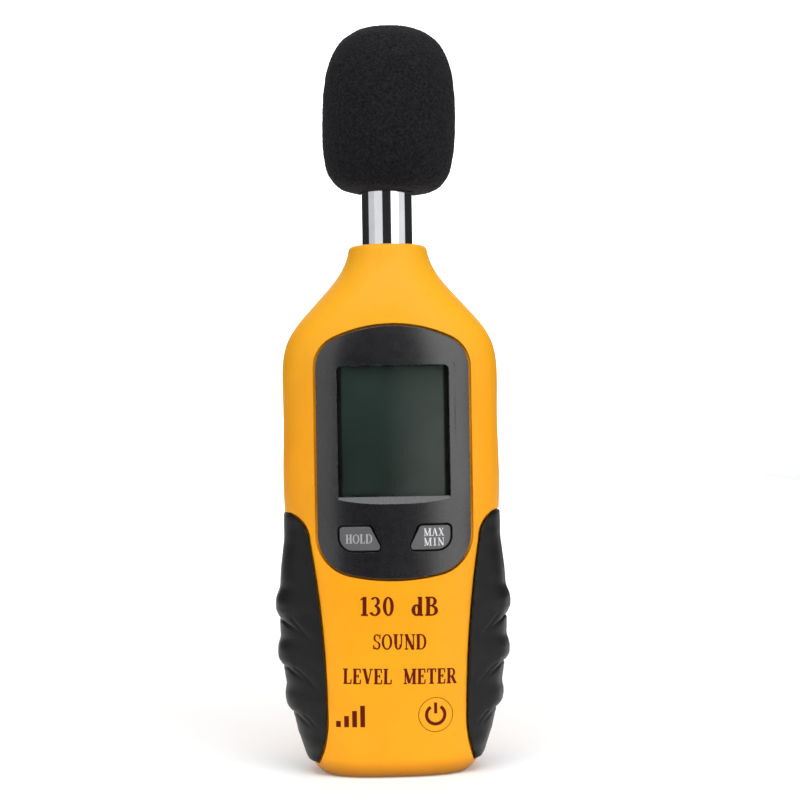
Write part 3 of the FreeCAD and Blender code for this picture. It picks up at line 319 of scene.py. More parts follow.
def open_cell_foam():
    """Black foam: painted shade darkens the pores between the cell walls, and a painted highlight lightens
    where the skin is bumped up.
    """
    made = Finish("open_cell_foam")
    warp = made.noise(0.8, 3.0, 0.6)
    pores = made.cells(0.55)
    walls = made.cells(0.55, "DISTANCE_TO_EDGE")
    # painted shade: colour darker deeper in each pore, where the bump sinks the skin
    tint = made.ramp(pores, (0.0125, 0.0121, 0.0155), (0.0035, 0.0035, 0.0048), 0.05, 0.7)
    rim = made.spread(walls, 1.0, 0.0, 0.0, 0.12)
    # painted highlight: colour lighter where the warp bump raises the skin
    tint = made.mix(made.spread(warp, 0.0, 0.5, 0.45, 0.75), tint, (0.029, 0.028, 0.034))
    normal = made.bump(pores, -0.16, made.bump(warp, 0.12))
    return made.set(
        Base_Color=tint,
        Roughness=made.spread(rim, 0.82, 0.97, 0.0, 1.0),
        Normal=normal,
        Specular_IOR_Level=0.15,
        Sheen_Weight=0.02,
        Sheen_Roughness=0.6,
    )


def circuit_board():
    made = Finish("circuit_board")
    tracks = made.node("TexWave", wave_type="BANDS", bands_direction="X")
    tracks.inputs["Scale"].default_value = 260
    tracks.inputs["Distortion"].default_value = 6.0
    made.link(made.coords, tracks.inputs["Vector"])
    tint = made.ramp(tracks.outputs["Fac"], (0.010, 0.085, 0.030), (0.020, 0.15, 0.055), 0.55, 0.62)
    weave = made.noise(0.4, 2.0)
    tint = made.mix(made.spread(weave, 0.0, 0.2), tint, (0.03, 0.12, 0.05))
    return made.set(
        Base_Color=tint,
        Roughness=made.spread(weave, 0.28, 0.4),
        Normal=made.bump(tracks.outputs["Fac"], 0.03),
    )


def battery_wrap():
    """A plain two-tone printed wrap."""
    made = Finish("battery_wrap")
    band = made.spread(made.axis("Z"), 0.0, 1.0, 52.0 * MM, 52.3 * MM)
    scuffs = made.noise(1.5, 5.0)
    dark = made.ramp(scuffs, (0.02, 0.022, 0.025), (0.035, 0.037, 0.04))
    tint = made.mix(band, dark, (0.45, 0.30, 0.10))
    return made.set(
        Base_Color=tint,
        Roughness=made.spread(scuffs, 0.25, 0.4),
        Metallic=0.4,
        Normal=made.bump(scuffs, 0.004),
    )


def contact_rubber():
    """Alternating conducting and insulating layers."""
    made = Finish("contact_rubber")
    stripes = made.node("TexWave", wave_type="BANDS", bands_direction="X")
    stripes.inputs["Scale"].default_value = 900
    made.link(made.coords, stripes.inputs["Vector"])
    tint = made.ramp(stripes.outputs["Fac"], (0.02, 0.02, 0.02), (0.55, 0.22, 0.18), 0.4, 0.6)
    return made.set(Base_Color=tint, Roughness=0.6, Normal=made.bump(stripes.outputs["Fac"], 0.01))


FINISHES = {
    "case_plastic": amber_plastic(),
    "grip_rubber": grip_rubber(),
    "panel_plastic": panel_plastic(),
    "key_rubber": moulded("key_rubber", (0.108, 0.108, 0.112), 0.45, 0.05, 0.3, 0.006, 0.25),
    "display_window": window_plastic(),
    "display_glass": liquid_crystal(),
    "backlight_plastic": moulded("backlight_plastic", (0.5, 0.53, 0.46), 0.4),
    "contact_rubber": contact_rubber(),
    "switch_plastic": moulded("switch_plastic", (0.02, 0.02, 0.02), 0.4, edge=0.1),
    "plunger_plastic": moulded("plunger_plastic", (0.25, 0.03, 0.02), 0.4, edge=0.1),
    "circuit_board": circuit_board(),
    "chip_plastic": moulded("chip_plastic", (0.015, 0.015, 0.016), 0.55, 0.15, 0.12, 0.006),
    "capacitor_metal": worked_metal("capacitor_metal", (0.7, 0.7, 0.72), 0.25, (1, 4, 1)),
    "trimmer_plastic": moulded("trimmer_plastic", (0.02, 0.07, 0.35), 0.35),
    "crystal_steel": worked_metal("crystal_steel", (0.6, 0.6, 0.62), 0.3),
    "screw_steel": worked_metal("screw_steel", (0.5, 0.5, 0.51), 0.3, (1, 1, 3)),
    "socket_brass": worked_metal("socket_brass", (0.72, 0.50, 0.20), 0.25, (0.3, 3, 0.3)),
    "tube_chrome": plated_tube(),
    "bush_rubber": moulded("bush_rubber", (0.02, 0.02, 0.02), 0.6),
    "holder_plastic": moulded("holder_plastic", (0.04, 0.04, 0.04), 0.5),
    "capsule_aluminium": worked_metal("capsule_aluminium", (0.72, 0.72, 0.74), 0.3),
    "grid_steel": worked_metal("grid_steel", (0.5, 0.5, 0.52), 0.35),
    "lead_black": moulded("lead_black", (0.015, 0.015, 0.015), 0.5),
    "lead_red": moulded("lead_red", (0.42, 0.012, 0.01), 0.45),
    "foam": open_cell_foam(),
    "battery_wrap": battery_wrap(),
    "terminal_steel": worked_metal("terminal_steel", (0.7, 0.7, 0.7), 0.2),
    "tray_plastic": moulded("tray_plastic", (0.025, 0.025, 0.026), 0.5, edge=0.2),
    "snap_plastic": moulded("snap_plastic", (0.015, 0.015, 0.015), 0.45, edge=0.2),
}
for part in frame["record"]["subparts"]:
    mesh = nodes[part["node"]].data
    mesh.materials.clear()
    mesh.materials.append(FINISHES[part["material_slot"]])


def printing_ink(name, colour):
    made = Finish(name)
    fine = made.noise(0.35, 3.0)
    tint = made.ramp(fine, shade(colour, 0.85), shade(colour, 1.15))
    return made.set(
        Base_Color=tint,
        Roughness=made.spread(fine, 0.5, 0.62),
        Normal=made.bump(fine, 0.003),
        Specular_IOR_Level=0.1,
    )


red_ink = printing_ink("red_ink", PRINT_RED)
pale_ink = printing_ink("pale_ink", (0.42, 0.42, 0.43))
white_ink = printing_ink("white_ink", (0.72, 0.72, 0.73))


def new_piece(name, mesh, body, material, smooth=True):
    """A finished piece that rides on a CAD body."""
    made = bpy.data.objects.new(name, mesh)
    bpy.context.scene.collection.objects.link(made)
    mesh.materials.clear()
    mesh.materials.append(material)
    if smooth:
        mesh.polygons.foreach_set("use_smooth", [True] * len(mesh.polygons))
    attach(made, body)
    return made


# ---------------------------------------------------------------- foam windscreen
foam_low, foam_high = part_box("windscreen")
FOAM_PROFILE = [  # height below the top and half width, millimetres
    (0.0, 0.0), (0.1, 3.1), (0.4, 5.6), (1.1, 8.2), (3.1, 11.45), (5.1, 13.2), (7.1, 14.35),
    (9.1, 15.15), (11.1, 15.7), (13.1, 16.1), (15.1, 16.35), (19.1, 16.65), (25.1, 16.75),
    (29.1, 16.6), (31.1, 16.45), (33.1, 16.15), (35.1, 15.75), (37.1, 15.05), (39.1, 13.65),
    (40.4, 12.1), (41.1, 10.2), (41.35, 8.2),
]  # fmt: skip
FOAM_AROUND = 360
FOAM_STEP = 0.34 * MM
BORE_RADIUS = 6.41 * MM
BORE_TOP = 13.8 * MM
FOAM_LEAN = 0.024  # the soft foam sits a little askew on the barrel
FOAM_SHIFT = 0.4 * MM
FOAM_FADE = 3 * MM  # the skin comes to rest this far round the bore
PIT_DEPTH, PIT_REACH, PIT_LEVEL = 0.24, 0.5, 0.42
PITS_A_METRE, WAVES_A_METRE, LUMPS_A_METRE = 1250, 95, 420
WAVE_HEIGHT, LUMP_HEIGHT, SKIN_INSET = 0.10, 0.08, 0.10
LUMP_OFFSET = Vector((7, 3, 1))


def even_points(line, step):
    """Points about a step apart along a smooth curve through a line of points."""
    curve = []
    for i in range(len(line) - 1):
        before, first = line[max(i - 1, 0)], line[i]
        last, after = line[i + 1], line[min(i + 2, len(line) - 1)]
        count = max(int((last - first).length / step), 1)
        for j in range(count):
            t = j / count
            lead, trail = (last - before) / 2, (after - first) / 2
            curve.append(
                first * (1 + 2 * t) * (1 - t) ** 2
                + lead * t * (1 - t) ** 2
                + last * t * t * (3 - 2 * t)
                + trail * t * t * (t - 1)
            )
    return curve + [line[-1]]


def foam_mesh():
    """A turned blind cap of foam whose skin has the small pits of its cut cells."""
    top = foam_high.z
    line = [Vector((radius * MM, top - drop * MM)) for drop, radius in FOAM_PROFILE]
    outside = even_points(line, FOAM_STEP)[1:]
    inside = [
        Vector((BORE_RADIUS + 0.9 * MM, foam_low.z + 0.1 * MM)),
        Vector((BORE_RADIUS + 0.25 * MM, foam_low.z + 0.5 * MM)),
        Vector((BORE_RADIUS, foam_low.z + 1.2 * MM)),
        Vector((BORE_RADIUS, foam_low.z + 9 * MM)),
        Vector((BORE_RADIUS, top - BORE_TOP)),
        Vector((BORE_RADIUS - 1 * MM, top - BORE_TOP + 0.2 * MM)),
    ]
    rings = outside + inside
    points, faces = [Vector((0, 0, top))], []
    for ring in rings:
        for k in range(FOAM_AROUND):
            turn = 2 * math.pi * k / FOAM_AROUND
            points.append(Vector((ring.x * math.cos(turn), ring.x * math.sin(turn), ring.y)))
    for k in range(FOAM_AROUND):
        faces.append((0, 1 + k, 1 + (k + 1) % FOAM_AROUND))
    for row in range(len(rings) - 1):
        for k in range(FOAM_AROUND):
            a, b = 1 + row * FOAM_AROUND + k, 1 + row * FOAM_AROUND + (k + 1) % FOAM_AROUND
            faces.append((a, a + FOAM_AROUND, b + FOAM_AROUND, b))
    last = len(points)
    points.append(Vector((0, 0, top - BORE_TOP + 0.3 * MM)))
    start = 1 + (len(rings) - 1) * FOAM_AROUND
    for k in range(FOAM_AROUND):
        faces.append((start + k, last, start + (k + 1) % FOAM_AROUND))
    middle = (foam_low.z + foam_high.z) / 2
    skin = 1 + len(outside) * FOAM_AROUND
    for i in range(skin):
        point = points[i]
        outward = Vector((point.x, point.y, (point.z - middle) * 0.6)).normalized()
        fade = min(max((Vector((point.x, point.y)).length - BORE_RADIUS) / FOAM_FADE, 0), 1)
        if point.z > middle:
            fade = 1.0
        near, _ = noise.voronoi(point * PITS_A_METRE, distance_metric="DISTANCE")
        pits = min(near[1] - near[0], PIT_REACH) - PIT_LEVEL
        waves = noise.noise(point * WAVES_A_METRE) * WAVE_HEIGHT
        swell = waves + noise.noise(point * LUMPS_A_METRE + LUMP_OFFSET) * LUMP_HEIGHT
        lean = Vector(((point.z - foam_low.z) * FOAM_LEAN + FOAM_SHIFT, 0, -point.x * FOAM_LEAN))
        points[i] = point + fade * (outward * (pits * PIT_DEPTH + swell - SKIN_INSET) * MM + lean)
    mesh = bpy.data.meshes.new("windscreen_foam")
    mesh.from_pydata(points, [], faces)
    mesh.validate()
    return mesh


windscreen_foam = new_piece("windscreen_foam", foam_mesh(), "windscreen_body", FINISHES["foam"])
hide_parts("windscreen")

# ---------------------------------------------------------------- rubber grips
# Creases under the finger ridges, millimetres: half width and height of both ends from the front, depth,
# half width, and how far the rubber swells above them. Every other crease runs on round the side, level.
CREASES = [
    ((27.6, 38.2), (22.6, 35.2), 0.45, 0.42, 0.35),
    ((25.2, 38.9), (20.6, 33.6), 0.40, 0.38, 0.25),
    ((26.6, 26.6), (22.4, 24.0), 0.45, 0.42, 0.35),
    ((24.4, 26.9), (19.2, 21.8), 0.40, 0.38, 0.25),
    ((24.6, 15.2), (21.0, 12.4), 0.40, 0.42, 0.30),
    ((22.4, 15.4), (19.6, 12.4), 0.35, 0.36, 0.20),
]
GRIP_OUTLINE = [  # half width and height of the rubber's outermost line, millimetres
    (26.75, 68.0), (26.85, 65.5), (26.93, 63.0), (26.93, 60.0), (27.0, 57.4), (27.26, 55.2),
    (27.54, 52.9), (27.8, 50.6), (27.98, 48.4), (28.1, 46.2), (28.4, 45.0), (28.85, 43.9),
    (29.2, 42.7), (29.22, 41.7), (29.0, 40.7), (28.55, 39.9), (28.35, 39.0), (28.35, 38.2),
    (28.25, 37.0), (28.2, 35.2), (28.12, 33.8), (28.3, 32.8), (28.6, 31.9), (28.85, 30.7),
    (28.78, 29.6), (28.45, 28.7), (28.05, 27.9), (27.8, 27.1), (27.6, 26.3), (27.35, 25.5),
    (27.15, 24.0), (26.88, 22.3), (26.95, 21.0), (27.15, 20.0), (27.17, 18.9), (26.9, 17.9),
    (26.4, 16.9), (25.95, 16.1), (25.7, 15.4), (25.25, 14.6), (24.95, 13.8), (24.63, 12.4),
    (24.1, 10.2), (23.34, 7.9), (22.59, 5.7), (22.04, 4.2), (21.1, 2.6), (19.9, 1.2), (18.9, 0.2),
]  # fmt: skip
GRIP_CORE = 19.0 * MM  # nothing nearer the middle than this is moved
GRIP_REACH = 40.0 * MM  # a half width that no grip comes to
GRIP_VOXEL = 0.3 * MM
INNER_FACE = -0.15  # faces that look inwards more than this are left alone
SWELL_ABOVE, SWELL_WIDTH = 1.7, 1.1  # millimetres over a crease, and half width of the swelling


def surface_of(node):
    """A CAD node's surface, for rays."""
    mesh = nodes[node].data
    return BVHTree.FromPolygons(
        [vertex.co for vertex in mesh.vertices], [tuple(p.vertices) for p in mesh.polygons]
    )


grip_curve = even_points([Vector(place) for place in GRIP_OUTLINE], 0.1)
GRIP_LINE = sorted((point.y * MM, point.x * MM) for point in grip_curve)


def outline_shift(tree, side, height):
    """How far outwards a grip's outermost line has to go at one height, and its half width there."""
    hit = tree.ray_cast(Vector((side * GRIP_REACH, 0, height)), Vector((-side, 0, 0)))[0]
    if hit is None or abs(hit.x) < GRIP_CORE + MM:
        return 0.0, GRIP_REACH
    at = min(max(bisect.bisect(GRIP_LINE, (height, 0.0)), 1), len(GRIP_LINE) - 1)
    (low, start), (high, end) = GRIP_LINE[at - 1], GRIP_LINE[at]
    share = min(max((height - low) / max(high - low, 1e-9), 0.0), 1.0)
    return start + (end - start) * share - abs(hit.x), abs(hit.x)


def crease_depth(x, z):
    """How deep the creases cut at a point of a grip, and minus how far it swells, in millimetres."""
    point = Vector((abs(x) / MM, z / MM))
    depth = 0.0
    for number, (first, last, cut, width, swell) in enumerate(CREASES):
        start, end = Vector(first), Vector(last)
        along = (point - start).dot(end - start) / (end - start).length_squared
        if along < 0 and number % 2 == 0:
            above, along = point.y - start.y, 0.0
        else:
            nearest = min(max(along, 0.0), 1.0)
            across = point - (start + (end - start) * nearest)
            side = (end - start).orthogonal().normalized()
            above = across.length * (1 if across.dot(side) * side.y > 0 else -1)
        fade = math.sqrt(max(1.0 - max(along, 0.0), 0.0))
        if number % 2:
            fade *= min(max(along + 0.35, 0.0) / 0.5, 1.0)
        depth += cut * fade * math.exp(-((above / width) ** 2))
        if above > 0:
            depth -= swell * fade * math.exp(-(((above - SWELL_ABOVE) / SWELL_WIDTH) ** 2))
    return depth


def detailed_grip(node):
    """The grip again in a fine mesh, with its true outline and its creases."""
    work = bpy.data.objects.new(node + "_work", nodes[node].data.copy())
    bpy.context.scene.collection.objects.link(work)
    remesh = work.modifiers.new("remesh", "REMESH")
    remesh.mode = "VOXEL"
    remesh.voxel_size = GRIP_VOXEL
    relax = work.modifiers.new("relax", "SMOOTH")
    relax.factor = 0.5
    relax.iterations = 6
    graph = bpy.context.evaluated_depsgraph_get()
    mesh = bpy.data.meshes.new_from_object(work.evaluated_get(graph))
    bpy.data.objects.remove(work)
    normals = [vertex.normal.copy() for vertex in mesh.vertices]
    tree = surface_of(node)
    for vertex, normal in zip(mesh.vertices, normals):
        side = math.copysign(1.0, vertex.co.x)
        if normal.x * side < INNER_FACE:
            continue
        shift, widest = outline_shift(tree, side, vertex.co.z)
        reach = (abs(vertex.co.x) - GRIP_CORE) / (widest - GRIP_CORE)
        vertex.co.x += side * shift * min(max(reach, 0.0), 1.0)
        vertex.co -= normal * crease_depth(vertex.co.x, vertex.co.z) * MM
    mesh.name = node + "_rubber"
    made = new_piece(node + "_rubber", mesh, "meter", FINISHES["grip_rubber"])
    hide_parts(node)


for grip in ("left_grip", "right_grip"):
    detailed_grip(grip)


# ---------------------------------------------------------------- printing
INK_SINK, INK_PROUD = 0.015, 0.03  # millimetres into the surface and above it
RAY_START = -60 * MM


class Print:
    """Ink on a CAD surface seen from the front: strips of left and right edge points, in millimetres."""

    def __init__(self, name, node, body, slot, ink):
        self.name, self.body, self.slot, self.ink = name, body, slot, ink
        self.surface = surface_of(node)
        self.points, self.faces = [], []

    def strip(self, pairs, closed=False):
        """A closed slab of ink between two edge lines."""
        start = len(self.points)
        for pair in pairs:
            for x, z in pair:
                hit = self.surface.ray_cast(Vector((x * MM, RAY_START, z * MM)), Vector((0, 1, 0)))[0]
                self.points.append(hit + Vector((0, -INK_PROUD * MM, 0)))
                self.points.append(hit + Vector((0, INK_SINK * MM, 0)))
        count = len(pairs)
        for i in range(count if closed else count - 1):
            a, b = start + 4 * i, start + 4 * ((i + 1) % count)
            self.faces += [
                (a, b, b + 2, a + 2),
                (a + 1, a + 3, b + 3, b + 1),
                (a, a + 1, b + 1, b),
                (a + 2, b + 2, b + 3, a + 3),
            ]
        if not closed:
            end = start + 4 * (count - 1)
            self.faces += [(start, start + 2, start + 3, start + 1), (end, end + 1, end + 3, end + 2)]

    def bar(self, first, last, width):
        """A straight stroke."""
        a, b = Vector(first), Vector(last)
        side = (b - a).orthogonal().normalized() * width / 2
        steps = max(int((b - a).length / 0.5), 1)
        line = [a + (b - a) * i / steps for i in range(steps + 1)]
        self.strip([(tuple(p + side), tuple(p - side)) for p in line])

    def ring(self, centre, outer, inner, start=0.0, end=360.0):
        """Part of an oval stroke, with different half widths and half heights outside and inside."""
        steps = max(int(abs(end - start) / 9), 2)
        closed = abs(end - start) >= 360
        pairs = []
        for i in range(steps if closed else steps + 1):
            turn = math.radians(start + (end - start) * i / steps)
            c, s = math.cos(turn), math.sin(turn)
            pairs.append(
                tuple((centre[0] + rx * c, centre[1] + rz * s) for rx, rz in (outer, inner))
            )
        self.strip(pairs, closed)

    def finish(self):
        mesh = bpy.data.meshes.new(self.name)
        mesh.from_pydata(self.points, [], self.faces)
        mesh.validate()
        new_piece(self.name, mesh, self.body, self.ink, smooth=False)


# Letters on a unit grid: strokes are "bar" (from, to, thick or thin) and "ring" (centre, radii, from, to).
# A letter is one unit high. The number after its name is its width.
THICK, THIN, SERIF = 0.17, 0.075, 0.10


def stem(x, low=0.0, high=1.0, feet=True, head=True, weight=THICK):
    """An upright stroke with its serifs."""
    strokes = [("bar", (x, low), (x, high), weight)]
    if feet:
        level = low + THIN / 2
        strokes.append(("bar", (x - weight / 2 - SERIF, level), (x + weight / 2 + SERIF, level), THIN))
    if head:
        level = high - THIN / 2
        strokes.append(("bar", (x - weight / 2 - SERIF, level), (x + weight / 2 + SERIF, level), THIN))
    return strokes


def oval(cx, cz, rx, rz, thick=THICK):
    """A whole round stroke, thick at its sides."""
    return [("ring", (cx, cz), (rx, rz), (rx - thick, rz - THIN), 0, 360)]


def arm(x0, x1, z, tick=0.0):
    """A thin level stroke that ends in a small upright tick."""
    strokes = [("bar", (x0, z), (x1, z), THIN)]
    if tick:
        strokes.append(("bar", (x1 - 0.03, z), (x1, z + tick), THIN))
    return strokes


LETTERS = {
    "S": (0.62, [
        ("ring", (0.31, 0.745), (0.27, 0.255), (0.13, 0.185), 35, 270),
        ("ring", (0.31, 0.265), (0.29, 0.265), (0.15, 0.19), 90, -145),
        ("bar", (0.55, 0.70), (0.55, 0.97), THIN),
        ("bar", (0.06, 0.03), (0.06, 0.30), THIN),
    ]),
    "O": (0.84, oval(0.42, 0.5, 0.42, 0.51)),
    "U": (0.82, stem(0.2, 0.34, 1.0, feet=False) + stem(0.66, 0.34, 1.0, feet=False, weight=THIN)
          + [("ring", (0.405, 0.34), (0.29, 0.35), (0.12, 0.27), 180, 360)]),
    "N": (0.86, stem(0.16, weight=THIN) + stem(0.72, feet=False, weight=THIN)
          + [("bar", (0.13, 0.97), (0.70, 0.0), THICK)]),
    "D": (0.84, stem(0.18, feet=False, head=False)
          + arm(0.02, 0.42, THIN / 2) + arm(0.02, 0.42, 1 - THIN / 2)
          + [("ring", (0.40, 0.5), (0.43, 0.5), (0.26, 0.425), -90, 90)]),
    "L": (0.66, stem(0.18, feet=False) + arm(0.02, 0.62, THIN / 2, 0.26)),
    "E": (0.68, stem(0.18, feet=False, head=False) + arm(0.02, 0.62, THIN / 2, 0.26)
          + arm(0.02, 0.60, 1 - THIN / 2, -0.24) + arm(0.18, 0.46, 0.52, 0.1) + arm(0.18, 0.46, 0.52, -0.1)),
    "V": (0.82, [("bar", (0.15, 1.0), (0.43, 0.02), THICK), ("bar", (0.69, 1.0), (0.43, 0.02), THIN),
                 ("bar", (0.0, 0.963), (0.30, 0.963), THIN), ("bar", (0.56, 0.963), (0.82, 0.963), THIN)]),
    "M": (1.02, stem(0.15, weight=THIN) + stem(0.84)
          + [("bar", (0.15, 0.98), (0.48, 0.06), THICK), ("bar", (0.82, 0.98), (0.48, 0.06), THIN)]),
    "T": (0.74, stem(0.37, head=False) + [("bar", (0.02, 0.963), (0.72, 0.963), THIN),
          ("bar", (0.05, 0.74), (0.05, 0.96), THIN), ("bar", (0.69, 0.74), (0.69, 0.96), THIN)]),
    "R": (0.80, stem(0.18, head=False) + arm(0.02, 0.42, 1 - THIN / 2) + arm(0.2, 0.42, 0.48)
          + [("ring", (0.40, 0.725), (0.28, 0.275), (0.12, 0.2), -90, 90),
             ("bar", (0.42, 0.48), (0.68, 0.02), THICK),
             ("bar", (0.58, 0.037), (0.80, 0.037), THIN)]),
    "B": (0.74, stem(0.18, feet=False, head=False) + arm(0.02, 0.4, THIN / 2) + arm(0.02, 0.38, 1 - THIN / 2)
          + arm(0.2, 0.4, 0.53)
          + [("ring", (0.38, 0.76), (0.26, 0.24), (0.11, 0.17), -90, 90),
             ("ring", (0.39, 0.27), (0.32, 0.27), (0.16, 0.2), -90, 90)]),
    "d": (0.62, stem(0.46, feet=False, head=False) + oval(0.27, 0.3, 0.27, 0.31)
          + [("bar", (0.32, 0.963), (0.46, 0.963), THIN), ("bar", (0.46, 0.037), (0.62, 0.037), THIN)]),
    "H": (0.82, stem(0.18) + stem(0.64) + [("bar", (0.2, 0.52), (0.62, 0.52), THIN)]),
    "A": (0.80, [("bar", (0.39, 1.0), (0.66, 0.02), THICK), ("bar", (0.39, 1.0), (0.13, 0.02), THIN),
                 ("bar", (0.23, 0.36), (0.54, 0.36), THIN), ("bar", (0.0, 0.037), (0.26, 0.037), THIN),
                 ("bar", (0.52, 0.037), (0.80, 0.037), THIN)]),
    "X": (0.80, [("bar", (0.16, 0.98), (0.64, 0.02), THICK), ("bar", (0.63, 0.98), (0.16, 0.02), THIN),
                 ("bar", (0.0, 0.963), (0.30, 0.963), THIN), ("bar", (0.50, 0.963), (0.76, 0.963), THIN),
                 ("bar", (0.02, 0.037), (0.28, 0.037), THIN), ("bar", (0.50, 0.037), (0.80, 0.037), THIN)]),
    "I": (0.40, stem(0.2)),
    "0": (0.60, oval(0.30, 0.5, 0.29, 0.51, thick=0.15)),
    "1": (0.46, stem(0.26, head=False) + [("bar", (0.06, 0.84), (0.26, 0.97), THIN)]),
    "3": (0.58, [
        ("ring", (0.26, 0.755), (0.26, 0.245), (0.12, 0.18), 150, -90),
        ("ring", (0.25, 0.275), (0.31, 0.285), (0.16, 0.21), 90, -160),
    ]),
    " ": (0.75, []),
}  # fmt: skip


LEAST_GAP = 0.06  # between letters, in letter heights


def write(sheet, words, centre, height, width, bold=1.0, tilt=0.0):
    """Letters of a given height, spaced to a total width round a point. tilt turns the line, in radians."""
    natural = sum(LETTERS[letter][0] for letter in words)
    gaps = max(len(words) - 1, 1)
    stretch = min(width / (natural * height), 1.0) if width < natural * height * 1.02 else 1.0
    gap = (width - natural * height * stretch) / gaps
    x, low = centre[0] - width / 2, centre[1] - height / 2
    if gap < LEAST_GAP * height:
        stretch = (width - gaps * LEAST_GAP * height) / (natural * height)
        gap = LEAST_GAP * height
    for letter in words:
        advance, strokes = LETTERS[letter]

        def place(point, x=x):
            flat = Vector((x + point[0] * height * stretch - centre[0], low + point[1] * height - centre[1]))
            return tuple(Vector(centre) + Matrix.Rotation(tilt, 2) @ flat)

        for stroke in strokes:
            if stroke[0] == "bar":
                sheet.bar(place(stroke[1]), place(stroke[2]), stroke[3] * height * bold)
            else:
                _, middle, outer, inner, start, end = stroke
                inner = tuple(out - (out - within) * bold for out, within in zip(outer, inner))
                sheet.ring(
                    place(middle),
                    (outer[0] * height * stretch, outer[1] * height),
                    (inner[0] * height * stretch, inner[1] * height),
                    start,
                    end,
                )
        x += advance * height * stretch + gap


legends = Print("printed_legends", "front_case", "meter", "case_plastic", red_ink)
PRINT_MIDDLE = 0.7
PRINT_TILT = math.radians(-1.2)  # the print sits a touch askew
write(legends, "130 dB", (PRINT_MIDDLE, 42.0), 4.6, 19.2, 1.2, PRINT_TILT)
write(legends, "SOUND", (PRINT_MIDDLE, 33.4), 3.75, 13.0, 1.1, PRINT_TILT)
write(legends, "LEVEL METER", (PRINT_MIDDLE, 25.0), 3.75, 27.6, 1.1, PRINT_TILT)
BARS, BAR_FIRST, BAR_SPACING, BAR_WIDTH = 4, -14.4, 1.95, 1.15
BAR_FOOT, BAR_HEAD, BAR_STEP = 12.8, 14.3, 1.25
for step in range(BARS):  # a rising row of level bars
    x = BAR_FIRST + BAR_SPACING * step
    legends.bar((x, BAR_FOOT), (x, BAR_HEAD + BAR_STEP * step), BAR_WIDTH)
legends.finish()

power_symbol = Print("power_symbol", "power_key", "power_key_body", "case_plastic", red_ink)
power_low, power_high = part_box("power_key")
POWER = ((power_low.x + power_high.x) / 2 / MM, (power_low.z + power_high.z) / 2 / MM)
power_symbol.ring(POWER, (2.65, 2.65), (1.85, 1.85), 122, 418)
power_symbol.bar((POWER[0], POWER[1] + 0.3), (POWER[0], POWER[1] + 3.0), 0.75)
power_symbol.finish()

hold_legend = Print("hold_legend", "hold_key", "hold_key_body", "key_rubber", pale_ink)
write(hold_legend, "HOLD", (-8.8, 58.5), 2.2, 6.4)
hold_legend.finish()
peak_legend = Print("max_min_legend", "max_min_key", "max_min_key_body", "key_rubber", white_ink)
write(peak_legend, "MAX", (9.4, 59.85), 1.9, 5.0)
write(peak_legend, "MIN", (9.4, 57.5), 1.9, 5.0)
peak_legend.finish()

# ---------------------------------------------------------------- floor, light
FLOOR_HALF, FLOOR_FRONT, FLOOR_END, FLOOR_LEVEL = 0.50, 0.12, 3.6, -0.02 * MM
BACK_HALF, BACK_DISTANCE, BACK_HEIGHT = 0.62, 1.6, 1.1
PAPER_GLOW, BACK_GLOW = 0.16, 1.0
GLOW_START, GLOW_END = 0.1, 1.2


def studio_paper(name, low_glow, high_glow):
    """White paper that glows a little, more the farther back it is."""
    made = Finish(name)
    fibre = made.noise(2.0, 3.0)
    tint = made.ramp(fibre, (0.93, 0.93, 0.93), (0.96, 0.96, 0.96))
    glow = made.spread(made.axis("Y"), low_glow, high_glow, GLOW_START, GLOW_END)
    return made.set(
        Base_Color=tint,
        Roughness=0.9,
        Normal=made.bump(fibre, 0.01),
        Emission_Color=(1.0, 1.0, 1.0),
        Emission_Strength=glow,
    )


def sheet_of_paper(name, corners, material):
    mesh = bpy.data.meshes.new(name)
    mesh.from_pydata(corners, [], [(0, 1, 2, 3)])
    mesh.materials.append(material)
    made = bpy.data.objects.new(name, mesh)
    bpy.context.scene.collection.objects.link(made)


sheet_of_paper(
    "studio_floor",
    [
        (-FLOOR_HALF, -FLOOR_FRONT, FLOOR_LEVEL),
        (FLOOR_HALF, -FLOOR_FRONT, FLOOR_LEVEL),
        (FLOOR_HALF, FLOOR_END, FLOOR_LEVEL),
        (-FLOOR_HALF, FLOOR_END, FLOOR_LEVEL),
    ],
    studio_paper("floor_paper", PAPER_GLOW, BACK_GLOW),
)
sheet_of_paper(
    "studio_backdrop",
    [
        (-BACK_HALF, BACK_DISTANCE, 0),
        (BACK_HALF, BACK_DISTANCE, 0),
        (BACK_HALF, BACK_DISTANCE, BACK_HEIGHT),
        (-BACK_HALF, BACK_DISTANCE, BACK_HEIGHT),
    ],
    studio_paper("backdrop_paper", BACK_GLOW, BACK_GLOW),
)


LIGHT_AIM = Vector((0, 0, 90 * MM))


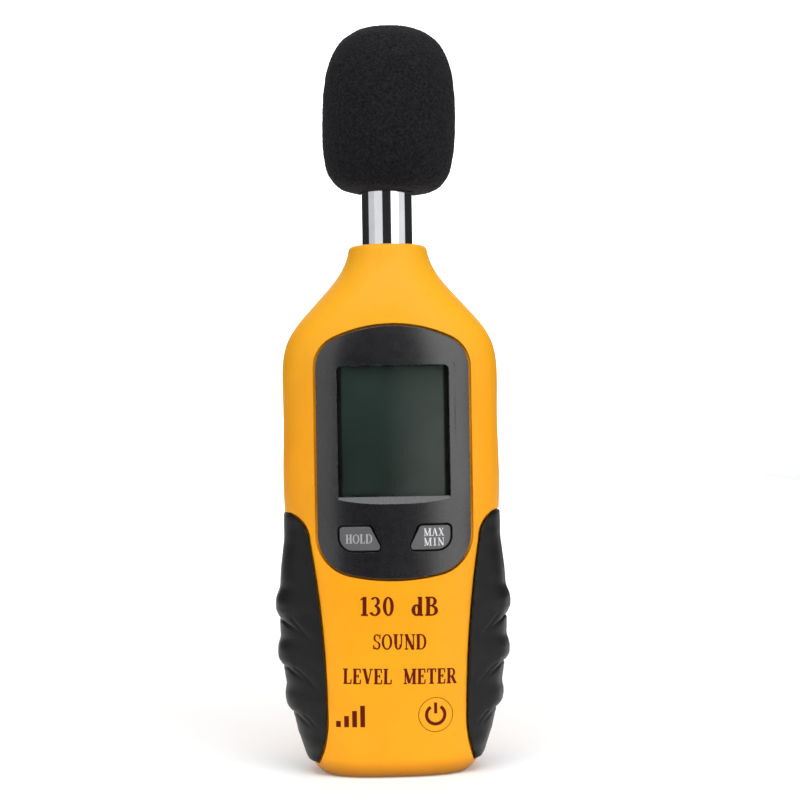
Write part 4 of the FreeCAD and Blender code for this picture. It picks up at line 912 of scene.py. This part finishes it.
def soft_light(name, azimuth, elevation, distance, size, power):
    """A rectangular lamp. Azimuth 0 is in front of the meter and 90 on its right."""
    turn, rise = math.radians(azimuth), math.radians(elevation)
    flat = distance * math.cos(rise)
    away = Vector((flat * math.sin(turn), -flat * math.cos(turn), distance * math.sin(rise)))
    data = bpy.data.lights.new(name, "AREA")
    data.shape = "RECTANGLE"
    data.size, data.size_y = size
    data.energy = power
    lamp = bpy.data.objects.new(name, data)
    lamp.location = LIGHT_AIM + away
    lamp.rotation_mode = "QUATERNION"
    lamp.rotation_quaternion = (-away).to_track_quat("-Z", "Y")
    bpy.context.scene.collection.objects.link(lamp)


soft_light("left_light", -42, 12, 0.80, (0.54, 0.8), 1.25)
soft_light("left_side_light", -77, 12, 0.80, (0.46, 0.8), 0.8)
soft_light("right_light", 34, 12, 0.80, (0.52, 0.8), 2.5)
soft_light("right_side_light", 69, 12, 0.80, (0.46, 0.8), 1.1)
soft_light("front_light", 0, 52, 0.65, (0.58, 0.39), 2.20)
soft_light("top_light", 0, 80, 1.00, (0.9, 0.6), 2.9)
soft_light("back_light", 180, 40, 1.20, (1.2, 0.6), 2.5)

SKY = (0.97, 0.98, 1.0, 1)
HORIZON_STRENGTH, ZENITH_STRENGTH, SEEN_STRENGTH = 0.03, 0.30, 1.0
HORIZON_RISE, ZENITH_RISE = 0.15, 0.9

world = bpy.data.worlds.new("studio")
world.use_nodes = True
sky = world.node_tree
background = sky.nodes["Background"]
background.inputs["Color"].default_value = SKY
direction = sky.nodes.new("ShaderNodeSeparateXYZ")
sky.links.new(sky.nodes.new("ShaderNodeTexCoord").outputs["Generated"], direction.inputs["Vector"])
rise = sky.nodes.new("ShaderNodeMapRange")
rise.inputs["From Min"].default_value = HORIZON_RISE
rise.inputs["From Max"].default_value = ZENITH_RISE
rise.inputs["To Min"].default_value = HORIZON_STRENGTH
rise.inputs["To Max"].default_value = ZENITH_STRENGTH
sky.links.new(direction.outputs["Z"], rise.inputs["Value"])
seen = sky.nodes.new("ShaderNodeMapRange")
sky.links.new(sky.nodes.new("ShaderNodeLightPath").outputs["Is Camera Ray"], seen.inputs["Value"])
sky.links.new(rise.outputs["Result"], seen.inputs["To Min"])
seen.inputs["To Max"].default_value = SEEN_STRENGTH
sky.links.new(seen.outputs["Result"], background.inputs["Strength"])
bpy.context.scene.world = world
bpy.context.scene.view_settings.view_transform = "Standard"
